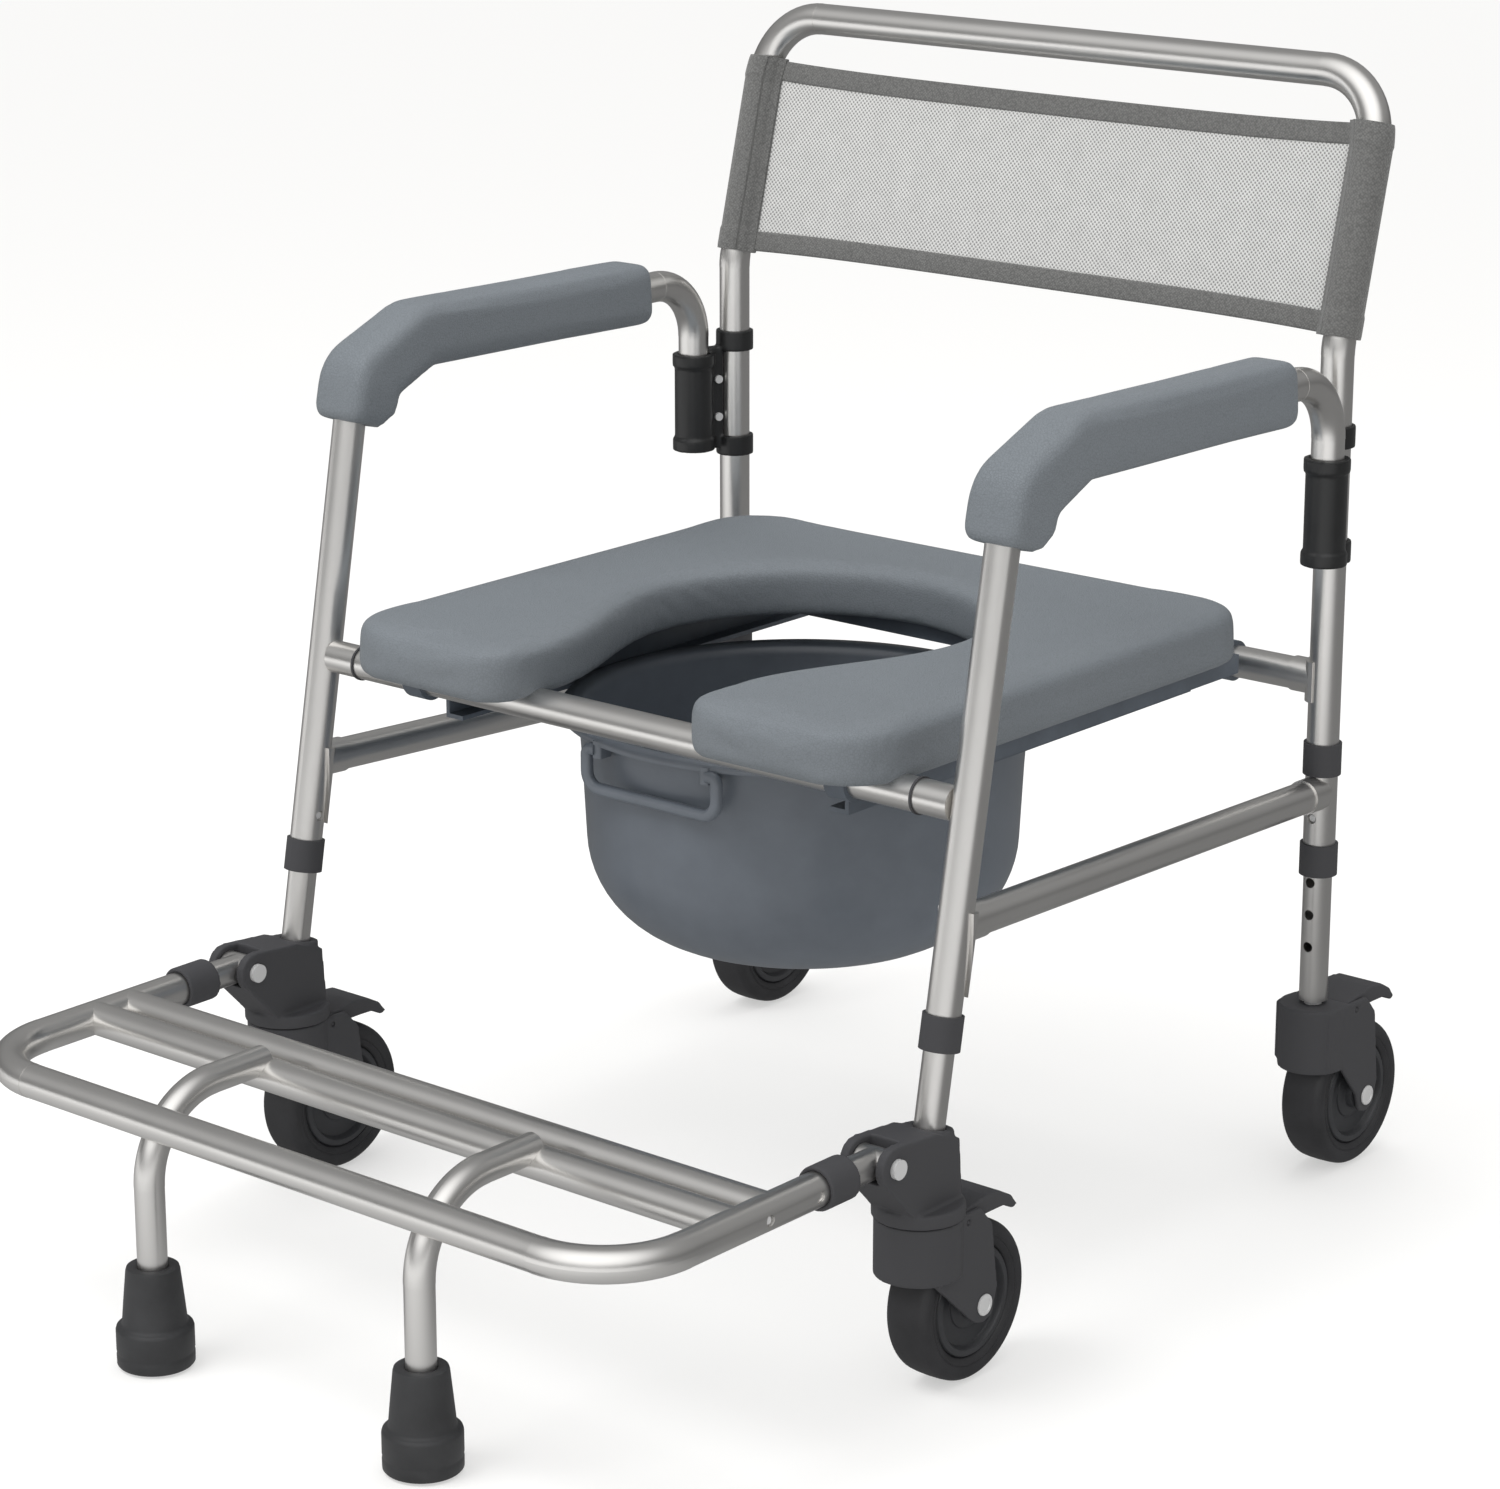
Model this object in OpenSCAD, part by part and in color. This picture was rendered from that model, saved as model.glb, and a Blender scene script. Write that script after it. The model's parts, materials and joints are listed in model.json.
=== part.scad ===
// Wheeled commode chair with a fold-up, pull-out footrest.
// Frame: +Z up, the sitter faces -Y, +X is the sitter's left.
// The origin is on the floor, under the middle of the chair's outline.

/* [Frame] */
// Outer diameter of the frame tubes
tube_d = 22; // [20:1:25]
// Wall thickness of the frame tubes
tube_wall = 1.2; // [1:0.1:1.6]
// Half the distance between the rear uprights
rear_half = 260; // [240:5:280]
// Half the distance between the front legs
front_half = 274; // [260:2:290]
// Depth from the front crossbar to the rear uprights
seat_depth = 413; // [390:1:430]
// Height of the front crossbar's axis
crossbar_z = 366; // [350:1:380]
// Lean of the front legs, as backward run per unit of rise
leg_lean = 0.184; // [0.12:0.002:0.24]

/* [Back] */
// Height where the uprights start to lean back
lean_z = 582; // [570:1:600]
// Lean of the back, as backward run per unit of rise
back_lean = 0.256; // [0.2:0.002:0.3]
// Height of the top bar's axis
top_bar_z = 756; // [745:1:790]

/* [Arms] */
// Height of the armrest tube's axis
arm_z = 570; // [550:1:590]
// Width of the armrest pad
arm_pad_w = 46; // [40:1:50]
// Thickness of the armrest pad
arm_pad_t = 44; // [40:1:48]

/* [Seat] */
// Half the width of the seat pad
seat_half = 226; // [215:1:235]
// Distance from the uprights back to the seat pad's front edge
seat_front = 457; // [445:1:465]
// Distance from the uprights to the seat pad's rear edge
seat_rear = 25; // [20:1:40]
// Height of the seat pad's underside
seat_z = 371; // [369:1:376]
// Thickness of the seat pad
seat_t = 37; // [32:1:42]
// Radius of the seat opening
hole_r = 120; // [105:1:125]
// Half the width of the opening's front throat
throat_half = 74; // [60:1:85]

/* [Bucket] */
// Outer radius of the bucket's rim
bucket_rim_r = 163; // [155:1:165]
// Depth of the bucket
bucket_h = 160; // [130:1:165]

/* [Footrest] */
// Distance from the uprights to the footrest's front bar
bar_reach = 735; // [700:1:750]
// Distance from the uprights to the footrest's hinge bolts
pivot_reach = 502; // [495:1:510]
// Height of the footrest tubes' axes
footrest_z = 165; // [160:1:172]
// Half the distance between the footrest's two legs
foot_half = 116; // [90:2:150]

/* [Casters] */
// Wheel diameter
wheel_d = 104; // [99:1:105]
// Wheel width
wheel_w = 33; // [28:1:34]
// Distance from the swivel axis back to the axle
caster_trail = 38; // [34:1:42]

/* [Hidden] */
$fn = 64;

// Colours
ALUMINIUM = [0.76, 0.75, 0.73];
STEEL = [0.82, 0.82, 0.82];
BLACK = [0.2, 0.2, 0.2];
RUBBER = [0.24, 0.24, 0.24];
SLATE = [0.4, 0.43, 0.46];
BORDER = [0.5, 0.5, 0.49];
MESH = [0.75, 0.75, 0.75];

// Fits: an extension tube slides in a frame tube with slide_gap all round,
// and parts that move past each other freely stay part_gap apart
slide_gap = 0.05;
part_gap = 0.5;
tube_r = tube_d / 2;
bore_d = tube_d - 2 * tube_wall;
ext_d = bore_d - 2 * slide_gap;
collar_d = tube_d + 4;
collar_h = 22;
bend_grow = 0.3;
bend_lap = 1;

// Plan positions: up_y is the rear uprights' axis, bar_y the front crossbar's
wheel_r = wheel_d / 2;
foot_reach = bar_reach - 5;
foot_base_d = 49;
up_y = (foot_reach + foot_base_d / 2 - caster_trail - wheel_r) / 2;
bar_y = up_y - seat_depth;
arm_back_y = up_y - 30;
pivot_y = up_y - pivot_reach;

// Heights
rear_bar_z = crossbar_z - 10;
rail_z = crossbar_z - 72;
rail_rear_z = crossbar_z - 89;
upper_collar_z = crossbar_z - 65;
lower_collar_z = crossbar_z - 136;
arm_sleeve_z0 = crossbar_z + 77;
arm_sleeve_z1 = crossbar_z + 149;
ring_zs = [crossbar_z + 79, crossbar_z + 157];
front_fork_z = 118;
rear_fork_z = 126;
knuckle_z1 = 172;
leg_foot_z = 142;
rear_leg_z = rear_fork_z + 2.5;

// Bends, sections, and how far a joined tube's end sockets reach from the axis
// of the tube it meets
socket_in = 5;
socket_out = 24;
arm_bend_r = [50, 42];
back_bend_r = 45;
lean_angle = atan(back_lean);
border_w = 16;
border_t = 4;
sleeve_d = tube_d + 5;
fabric_z0 = lean_z + 7;
fabric_z1 = top_bar_z - 31;

// Leg height adjustment: a row of holes one pitch apart
hole_d = 7.1;
hole_pitch = 23;
rear_button_z = crossbar_z - 106;
front_button_z = crossbar_z - 108;
button_y = up_y - 612;

// Seat plan: the opening's round part is centred on hole_y
hole_y = up_y - 237;
throat_y = up_y - 400;
seat_corner_r = 46;
throat_corner_r = 28;
seat_board_t = 6;
board_inset = 16;

// Bucket: the rim hangs on the carrier's lips
rim_z = crossbar_z - 24.7;
rim_t = 3;
bucket_wall = 2.6;
bucket_r = bucket_rim_r - 12;
bucket_base_r = bucket_r - 5;
bucket_round = 72;
bucket_y = up_y - 236;
carrier_out = 210;
carrier_in = bucket_rim_r + 6;
carrier_top = seat_z - part_gap;
sheet_t = 3;

// Footrest
loop_corner_r = 58;
cross_tube_ys = [up_y - 601, up_y - 631];
foot_leg_d = 19;
foot_bend_r = 55;
foot_leg_z = footrest_z + 8.5;
foot_y = up_y - foot_reach;
foot_h = 66;
foot_cuff_d = 33;
foot_band_h = 27;
foot_collar_y = [up_y - 532, up_y - 558];
bolt_d = 8;
screw_out = tube_r + 2.52;
stem_d = 12;

// ---------------------------------------------------------------- helpers

function unit(v) = v / norm(v);
function leg_y(z) = bar_y + leg_lean * (z - crossbar_z);
function leg_at(side, z) = [side * front_half, leg_y(z), z];
leg_dir = unit([0, leg_lean, 1]);
swivel_y = leg_y(front_fork_z);

// A direction at right angles to u that is +X wherever u allows it
function across(u) =
    let (s = abs(u[0]) < 0.9 ? [1, 0, 0] : [0, 1, 0]) unit(s - u * (s * u));

function turn_at(path, i) =
    acos(unit(path[i] - path[i - 1]) * unit(path[i + 1] - path[i]));

function setback(path, radii, i) =
    i == 0 || i == len(path) - 1 ? 0 : radii[i - 1] * tan(turn_at(path, i) / 2);

// Puts the children's X, Y and Z along three unit vectors, at a point
module axes(x, y, z, at)
    multmatrix([[x[0], y[0], z[0], at[0]], [x[1], y[1], z[1], at[1]],
                [x[2], y[2], z[2], at[2]], [0, 0, 0, 1]]) children();

// Stands the children's Z along the direction u at a point, with Y along across(u)
module along(u, at) axes(cross(across(u), u), across(u), u, at) children();

// Sweeps child 0 along the straight runs and child 1 round the bends. Both are
// symmetric about both axes. Child 1 is larger by bend_grow, and each run laps
// into it, so that the two join in one solid.
module swept(path, radii) {
    last = len(path) - 1;
    for (i = [0:last - 1]) {
        u = unit(path[i + 1] - path[i]);
        s0 = i == 0 ? 0 : setback(path, radii, i) - bend_lap;
        s1 = i == last - 1 ? 0 : setback(path, radii, i + 1) - bend_lap;
        along(u, path[i] + u * s0)
            linear_extrude(norm(path[i + 1] - path[i]) - s0 - s1) children(0);
    }
    if (last > 1) for (i = [1:last - 1]) {
        u = unit(path[i] - path[i - 1]);
        n = unit(cross(u, path[i + 1] - path[i]));
        m = cross(n, u);
        start = path[i] - u * setback(path, radii, i);
        axes(-m, u, n, start + m * radii[i - 1])
            rotate_extrude(angle = turn_at(path, i)) translate([radii[i - 1], 0]) children(1);
    }
}

module tube_section(d) difference() { circle(d = d); circle(d = d - 2 * tube_wall); }
module solid_path(path, radii, d) swept(path, radii) {
    circle(d = d);
    circle(d = d + bend_grow);
}

// The same path, run on by e beyond both of its ends
function run_on(path, e) = let (n = len(path) - 1) concat(
    [path[0] - e * unit(path[1] - path[0])], [for (i = [1:n - 1]) path[i]],
    [path[n] + e * unit(path[n] - path[n - 1])]);

module tube_path(path, radii, d = tube_d) difference() {
    solid_path(path, radii, d);
    solid_path(run_on(path, 1), radii, d - 2 * tube_wall);
}

// A straight round bar between two points
module bar(p, q, d) along(unit(q - p), p) cylinder(h = norm(q - p), d = d);

// A round bar centred on a point and lying along X
module cross_pin(at, d, l) translate(at) rotate([0, 90, 0]) cylinder(h = l, d = d, center = true);

module ring(h, d_out, d_in, center = false)
    linear_extrude(h, center = center) difference() { circle(d = d_out); circle(d = d_in); }

// Points of an arc, from angle a0 to a1
function arc(cx, cy, r, a0, a1, n = 6) =
    [for (i = [0:n]) let (a = a0 + (a1 - a0) * i / n) [cx + r * cos(a), cy + r * sin(a)]];

function rounded_box(w, h, r) = concat(
    arc(w / 2 - r, h / 2 - r, r, 0, 90, 4), arc(r - w / 2, h / 2 - r, r, 90, 180, 4),
    arc(r - w / 2, r - h / 2, r, 180, 270, 4), arc(w / 2 - r, r - h / 2, r, 270, 360, 4));

// ------------------------------------------------------------- back frame

back_path = [
    [-rear_half, up_y, upper_collar_z], [-rear_half, up_y, lean_z],
    [-rear_half, up_y + back_lean * (top_bar_z - lean_z), top_bar_z],
    [rear_half, up_y + back_lean * (top_bar_z - lean_z), top_bar_z],
    [rear_half, up_y, lean_z], [rear_half, up_y, upper_collar_z]];
back_radii = [40, back_bend_r, back_bend_r, 40];

module back_frame() color(ALUMINIUM) tube_path(back_path, back_radii);

// The leaning back's own plane: X across, Z up the slope from lean_z
module back_plane() translate([0, up_y, lean_z]) rotate([-lean_angle, 0, 0]) children();
function slope_z(z) = (z - lean_z) / cos(lean_angle);

module back_border() color(BORDER) difference() {
    union() {
        intersection() {
            solid_path(back_path, back_radii, sleeve_d);
            back_plane() translate([-400, -50, slope_z(fabric_z0)])
                cube([800, 100, slope_z(fabric_z1) - slope_z(fabric_z0)]);
        }
        back_plane() for (z = [slope_z(fabric_z0), slope_z(fabric_z1) - border_w])
            translate([-rear_half, -border_t / 2, z]) cube([2 * rear_half, border_t, border_w]);
    }
    solid_path(back_path, back_radii, tube_d);
}

module back_mesh() color(MESH) back_plane()
    translate([-rear_half + sleeve_d / 2, -1, slope_z(fabric_z0) + border_w])
        cube([2 * rear_half - sleeve_d, 2, slope_z(fabric_z1) - slope_z(fabric_z0) - 2 * border_w]);

// A tube from p to q that ends short of both tubes it meets, with a solid socket
// at each end that runs on towards that tube's axis, and a drain hole underneath
module joined_tube(p, q) {
    u = unit(q - p);
    difference() {
        union() {
            bar(p + u * (tube_r + 1.5), q - u * (tube_r + 1.5), tube_d);
            bar(p + u * socket_in, p + u * socket_out, tube_d + 2);
            bar(q - u * socket_out, q - u * socket_in, tube_d + 2);
        }
        bar(p + u * (socket_out - 4), q - u * (socket_out - 4), bore_d);
        translate(p + u * (socket_out + 26)) rotate([180, 0, 0]) cylinder(h = tube_d, d = 4);
    }
}

module rear_crossbar() color(ALUMINIUM) difference() {
    union() {
        joined_tube([-rear_half, up_y, rear_bar_z], [rear_half, up_y, rear_bar_z]);
        // flared saddles where the bar meets the uprights
        for (s = [-1, 1]) intersection() {
            translate([s * rear_half, up_y, rear_bar_z - 15]) cylinder(h = 28, d = tube_d + 5);
            translate([s * (rear_half - 12), up_y, rear_bar_z]) cube([18, 24, 40], center = true);
        }
    }
    for (s = [-1, 1]) translate([s * rear_half, up_y, rear_bar_z - 30]) cylinder(h = 60, d = tube_d);
}

// ------------------------------------------------------------- side frame

spigot_l = 36;

function arm_path(side) = [
    leg_at(side, lower_collar_z), leg_at(side, arm_z),
    [side * front_half, arm_back_y, arm_z], [side * front_half, arm_back_y, arm_sleeve_z0 + 6]];

module front_hole(side, z, inset = 5)
    translate(leg_at(side, z)) rotate([0, -side * 90, 0]) translate([0, 0, inset])
        cylinder(h = 12, d = hole_d);

// The front leg and the armrest are one bent tube, with a spigot for the crossbar
module side_frame(side) color(ALUMINIUM) difference() {
    union() {
        tube_path(arm_path(side), arm_bend_r);
        translate([side * (front_half - spigot_l / 2 - 5.2), bar_y, crossbar_z])
            rotate([0, 90, 0]) cylinder(h = spigot_l - 10.4, d = tube_d, center = true);
        translate([side * (front_half - spigot_l - 20), bar_y, crossbar_z])
            rotate([0, 90, 0]) cylinder(h = 44, d = bore_d, center = true);
    }
    front_hole(side, front_button_z);
}

module front_crossbar() color(ALUMINIUM)
    translate([0, bar_y, crossbar_z]) rotate([0, 90, 0])
        linear_extrude(2 * (front_half - spigot_l - 1.5), center = true) tube_section(tube_d);

// The rear end of a side rail is welded to a sleeve that slips over the upright's
// extension tube, and its front end to a half saddle behind the front leg
module side_rail(side) color(ALUMINIUM) {
    front = leg_at(side, rail_z);
    rear = [side * rear_half, up_y, rail_rear_z];
    difference() {
        union() {
            difference() {
                joined_tube(front, rear);
                translate([rear[0], rear[1], lower_collar_z]) cylinder(h = 90, d = tube_d - 1);
            }
            translate([rear[0], rear[1], lower_collar_z + 1])
                ring(upper_collar_z - lower_collar_z - 2, tube_d, bore_d);
            intersection() {
                bar(leg_at(side, rail_z - 42), leg_at(side, rail_z + 10), tube_d + 5);
                translate([side * front_half, leg_y(rail_z - 16) + 22, rail_z - 16])
                    cube([40, 36, 70], center = true);
            }
        }
        bar(leg_at(side, rail_z - 90), leg_at(side, rail_z + 60), tube_d);
        translate([rear[0], rear[1], rear_button_z]) rotate([90, 0, 0])
            cylinder(h = 20, d = hole_d);
    }
}

// Black end collars: two round each rear upright, one at the foot of each front leg,
// and a thin washer at each end of the front crossbar
module tube_collars() color(BLACK) {
    for (s = [-1, 1]) {
        translate([s * rear_half, up_y, upper_collar_z]) ring(collar_h, collar_d, tube_d, true);
        translate([s * rear_half, up_y, lower_collar_z]) end_collar();
        along(leg_dir, leg_at(s, lower_collar_z)) end_collar();
        translate([s * (front_half - spigot_l - 0.75), bar_y, crossbar_z]) rotate([0, 90, 0])
            ring(1.5, tube_d + 2, bore_d, true);
    }
}

// A collar whose lower lip guides the extension tube
module end_collar() difference() {
    cylinder(h = collar_h, d = collar_d, center = true);
    translate([0, 0, 0]) cylinder(h = collar_h, d = tube_d);
    translate([0, 0, -collar_h]) cylinder(h = 2 * collar_h, d = bore_d);
}

// ------------------------------------------------------------------- arms

module arm_pad(side) color(SLATE) difference() {
    swept([leg_at(side, arm_z - 52), leg_at(side, arm_z),
           [side * front_half, up_y - 94, arm_z]], [arm_bend_r[0]]) {
        polygon(rounded_box(arm_pad_t, arm_pad_w, 11));
        polygon(rounded_box(arm_pad_t + bend_grow, arm_pad_w + bend_grow, 11));
    }
    solid_path(arm_path(side), arm_bend_r, tube_d);
}

// A clip with two rings on the upright and a socket for the armrest's rear end
module arm_sleeve(side) color(BLACK) {
    web = [rear_half - front_half, up_y - arm_back_y];
    difference() {
        union() {
            translate([side * front_half, arm_back_y, arm_sleeve_z0])
                cylinder(h = arm_sleeve_z1 - arm_sleeve_z0, d = tube_d + 6);
            for (z = [arm_sleeve_z0, arm_sleeve_z1 - 9])
                translate([side * front_half, arm_back_y, z]) cylinder(h = 9, d = tube_d + 9);
            for (z = ring_zs) translate([side * rear_half, up_y, z])
                cylinder(h = 15, d = tube_d + 5.5, center = true);
            translate([side * front_half, arm_back_y, arm_sleeve_z0])
                rotate([0, 0, atan2(web[1], side * web[0])])
                    translate([0, -4, 0]) cube([norm(web), 8, ring_zs[1] - arm_sleeve_z0 - 4]);
        }
        translate([side * front_half, arm_back_y, arm_sleeve_z0 + 6]) cylinder(h = 100, d = tube_d);
        translate([side * rear_half, up_y, arm_sleeve_z0 - 50]) cylinder(h = 200, d = tube_d);
        sleeve_screws(side);
    }
}

// Two screws through the web of the arm sleeve
module sleeve_screws(side) {
    web = [rear_half - front_half, up_y - arm_back_y];
    for (z = [arm_sleeve_z0 + 24, arm_sleeve_z0 + 52])
        translate([side * front_half, arm_back_y, z])
            rotate([0, 0, atan2(web[1], side * web[0])]) translate([18, 0, 0]) rotate([90, 0, 0]) {
                cylinder(h = 8, d = 3.4, center = true);
                for (m = [-1, 1]) translate([0, 0, m * 5]) cylinder(h = 2, d = 6, center = true);
            }
}

// Screws of the arm sleeves, and the rivets that hold the side rails' saddles
module frame_screws() color(STEEL) {
    for (s = [-1, 1]) {
        sleeve_screws(s);
        translate(leg_at(s, rail_z - 30)) rotate([-90 - atan(leg_lean), 0, 0])
            translate([0, 0, screw_out]) cylinder(h = 2, d = 7);
    }
}

// ------------------------------------------------------------------- seat

// Half width of the seat opening at depth y
function opening_half(y, grow) =
    y >= hole_y ? sqrt(max(0, pow(hole_r + grow, 2) - pow(y - hole_y, 2)))
    : let (t = max(0, min(1, (y - throat_y) / (hole_y - throat_y))))
      throat_half + grow + (hole_r - throat_half) * t * t * (3 - 2 * t);

// One half of the horseshoe outline, from the back's middle round to the opening's back
function seat_half_outline(inset) =
    let (x1 = seat_half - inset, y0 = up_y - seat_front + inset, y1 = up_y - seat_rear - inset,
         r = seat_corner_r - inset / 2, rc = throat_corner_r, xc = throat_half + inset + rc)
    concat(
        arc(x1 - r, y1 - r, r, 90, 0), arc(x1 - r, y0 + r, r, 0, -90),
        arc(xc, y0 + rc, rc, 270, 180, 5),
        [for (i = [1:9]) let (y = y0 + rc + (hole_y - y0 - rc) * i / 9)
            [opening_half(y, inset), y]],
        [for (a = [10:10:80]) [(hole_r + inset) * cos(a), hole_y + (hole_r + inset) * sin(a)]]);

module seat_plan(inset = 0) for (m = [0, 1]) mirror([m, 0]) polygon(concat(
    [[0, up_y - seat_rear - inset]], seat_half_outline(inset), [[0, hole_y + hole_r + inset]]));

module seat_board() color([0.22, 0.23, 0.25]) intersection() {
    translate([0, 0, seat_z]) linear_extrude(seat_board_t) seat_plan(board_inset);
    translate([-300, bar_y + 16, seat_z - 1]) cube([600, 500, 20]);
}

module seat_pad() color(SLATE) difference() {
    translate([0, 0, seat_z]) linear_extrude(seat_t) seat_plan();
    seat_board();
    cross_pin([0, bar_y, crossbar_z], tube_d + 2 * part_gap, 600);
}

// Two rails of folded sheet that carry the seat and hold the bucket's rim,
// a cross member at the back and clips on both crossbars
module seat_carrier() color([0.3, 0.32, 0.35]) {
    lip_z = rim_z - part_gap - sheet_t;
    y0 = bar_y + tube_r + 0.4;
    length = up_y - 30 - y0;
    difference() {
        union() {
            for (s = [-1, 1]) {
                for (w = [[carrier_in, carrier_out, carrier_top - sheet_t, carrier_top],
                          [carrier_out - sheet_t, carrier_out, carrier_top - 13, carrier_top],
                          [carrier_in, carrier_in + sheet_t, lip_z, carrier_top],
                          [carrier_in - 12, carrier_in + sheet_t, lip_z, lip_z + sheet_t]])
                    translate([s > 0 ? w[0] : -w[1], y0, w[2]])
                        cube([w[1] - w[0], length, w[3] - w[2]]);
                translate([s * 180 - 8, y0 + length - 10, carrier_top - sheet_t])
                    cube([16, 40, sheet_t]);
                cross_pin([s * 180, bar_y, crossbar_z], tube_d + 6, 16);
                cross_pin([s * 180, up_y, rear_bar_z], tube_d + 6, 16);
            }
            translate([-carrier_in, up_y - 100, carrier_top - 12])
                cube([2 * carrier_in, 40, 12]);
        }
        cross_pin([0, bar_y, crossbar_z], tube_d, 600);
        cross_pin([0, up_y, rear_bar_z], tube_d, 600);
        translate([-300, bar_y - 50, carrier_top]) cube([600, 600, 50]);
    }
}

// ----------------------------------------------------------------- bucket

// Half section of the bucket's outer form, shrunk by inset
module bucket_form(inset) {
    base = bucket_base_r - inset;
    top = bucket_r - inset;
    r = bucket_round - inset;
    bottom = -bucket_h + inset;
    polygon([[0, bottom + r], [base, bottom + r], [top, 0], [0, 0]]);
    intersection() {
        translate([base - r, bottom + r]) circle(r = r);
        translate([0, bottom - 1]) square([2 * base, r + 1]);
    }
    translate([0, bottom]) square([base - r, r]);
}

module bucket() color(SLATE) translate([0, bucket_y, rim_z + rim_t]) {
    rotate_extrude() difference() {
        union() {
            bucket_form(0);
            translate([0, -rim_t]) square([bucket_rim_r, rim_t]);
        }
        bucket_form(bucket_wall);
        square([bucket_r - bucket_wall, 20]);
    }
    // lugs that carry the handle
    for (s = [-1, 1]) difference() {
        translate([s * 46 - 4, -bucket_rim_r + 4, -rim_t - 11]) cube([8, 16, 12]);
        translate([0, 0, -rim_t]) rotate([0, 0, 0]) bucket_void();
        translate([s * 46, handle_y - bucket_y, handle_z - rim_z - rim_t]) rotate([0, 90, 0])
            cylinder(h = 20, d = 4.1, center = true);
    }
}

// The space inside the bucket's wall, so that a lug stays outside
module bucket_void() translate([0, 0, -20]) cylinder(h = 40, r = bucket_r - 1);

handle_z = rim_z - 7;
handle_y = bucket_y - bucket_rim_r + 8;

// A flat U-shaped handle that hangs under the rim
module bucket_handle() color([0.44, 0.47, 0.5]) {
    translate([0, handle_y, handle_z]) {
        difference() {
            translate([-60, -3.5, -29]) cube([120, 7, 33.5]);
            translate([-51.5, -10, -21]) cube([103, 20, 60]);
        }
        for (s = [-1, 1]) translate([s * 48, 0, 0]) rotate([0, 90, 0])
            cylinder(h = 10, d = 4, center = true);
    }
}

// ------------------------------------------------- front legs and knuckles

module front_legs() color(ALUMINIUM) for (s = [-1, 1]) difference() {
    along(leg_dir, leg_at(s, leg_foot_z)) linear_extrude(178) tube_section(ext_d);
    for (k = [-2:1]) front_hole(s, front_button_z - k * hole_pitch * leg_dir[2], 4);
}

// A moulded knuckle: socket for the leg, two cheeks round the footrest's stub,
// and a round seat for the caster
module knuckle(side) color(BLACK) difference() {
    union() {
        bar(leg_at(side, 128), leg_at(side, knuckle_z1), 31);
        translate([side * front_half, swivel_y, front_fork_z + part_gap])
            cylinder(h = 9, d = 58);
        translate([side * front_half - 17, 0, 0]) rotate([90, 0, 90]) linear_extrude(34)
            polygon(concat(arc(pivot_y, footrest_z, 13.5, 80, 240),
                [[swivel_y - 25, front_fork_z + 9], [swivel_y + 22, front_fork_z + 9],
                 [leg_y(knuckle_z1) + 9, knuckle_z1 - 6], [leg_y(knuckle_z1) - 14, knuckle_z1 + 3]]));
    }
    // slot for the stub, open in front and above
    translate([side * front_half - ext_d / 2 - part_gap, pivot_y - 40, footrest_z - ext_d / 2 - part_gap])
        cube([ext_d + 2 * part_gap, 40 + ext_d / 2 + 1, 60]);
    bar(leg_at(side, leg_foot_z), leg_at(side, 240), ext_d);
    translate([side * front_half, swivel_y, 0]) cylinder(h = front_fork_z + 16, d = stem_d);
    cross_pin([side * front_half, pivot_y, footrest_z], bolt_d, 60);
}

// The hinge bolts with domed heads, and the front casters' stems
module knuckle_pins() color(STEEL) for (s = [-1, 1]) {
    cross_pin([s * front_half, pivot_y, footrest_z], bolt_d, 34.1);
    for (m = [-1, 1]) cross_pin([s * front_half + m * 18.5, pivot_y, footrest_z], 12.5, 3);
    translate([s * front_half, swivel_y, front_fork_z - 13]) cylinder(h = 29, d = stem_d);
}

// ---------------------------------------------------------------- footrest

module footrest_stubs() color(ALUMINIUM) for (s = [-1, 1]) difference() {
    union() {
        bar([s * front_half, pivot_y, footrest_z], [s * front_half, pivot_y - 28, footrest_z], ext_d);
        along([0, -1, 0], [s * front_half, pivot_y - 28, footrest_z])
            linear_extrude(130) tube_section(ext_d);
        cross_pin([s * front_half, pivot_y, footrest_z], ext_d, ext_d);
    }
    cross_pin([s * front_half, pivot_y, footrest_z], bolt_d + 2 * slide_gap, 60);
    for (k = [-1:1]) side_hole(s, button_y + k * hole_pitch);
}

// A hole through the outer wall of the footrest's side tube
module side_hole(s, y) translate([s * front_half, y, footrest_z]) rotate([0, s * 90, 0])
    translate([0, 0, 4]) cylinder(h = 12, d = hole_d);

module footrest_loop() color(ALUMINIUM) difference() {
    tube_path([[-front_half, up_y - 545, footrest_z], [-front_half, up_y - bar_reach, footrest_z],
               [front_half, up_y - bar_reach, footrest_z], [front_half, up_y - 545, footrest_z]],
              [loop_corner_r, loop_corner_r]);
    for (s = [-1, 1], k = [0, 2]) side_hole(s, button_y + k * hole_pitch);
}

module footrest_cross_tubes() color(ALUMINIUM) difference() {
    for (y = cross_tube_ys) translate([0, y, footrest_z]) rotate([0, 90, 0])
        linear_extrude(2 * front_half, center = true) tube_section(tube_d);
    for (s = [-1, 1]) bar([s * front_half, up_y - 540, footrest_z],
                          [s * front_half, up_y - 700, footrest_z], tube_d);
}

function foot_path(s) = [
    [s * foot_half, cross_tube_ys[1], foot_leg_z], [s * foot_half, foot_y, foot_leg_z],
    [s * foot_half, foot_y, 14]];

module footrest_legs() color(ALUMINIUM) difference() {
    for (s = [-1, 1]) tube_path(foot_path(s), [foot_bend_r], foot_leg_d);
    translate([0, cross_tube_ys[1], footrest_z]) rotate([0, 90, 0])
        cylinder(h = 400, d = tube_d, center = true);
}

module footrest_collars() color(BLACK) for (s = [-1, 1])
    along([0, -1, 0], [s * front_half, foot_collar_y[0], footrest_z]) difference() {
        cylinder(h = foot_collar_y[0] - foot_collar_y[1], d = collar_d + 2);
        translate([0, 0, 13]) cylinder(h = 40, d = tube_d);
        translate([0, 0, -1]) cylinder(h = 40, d = bore_d);
    }

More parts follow.
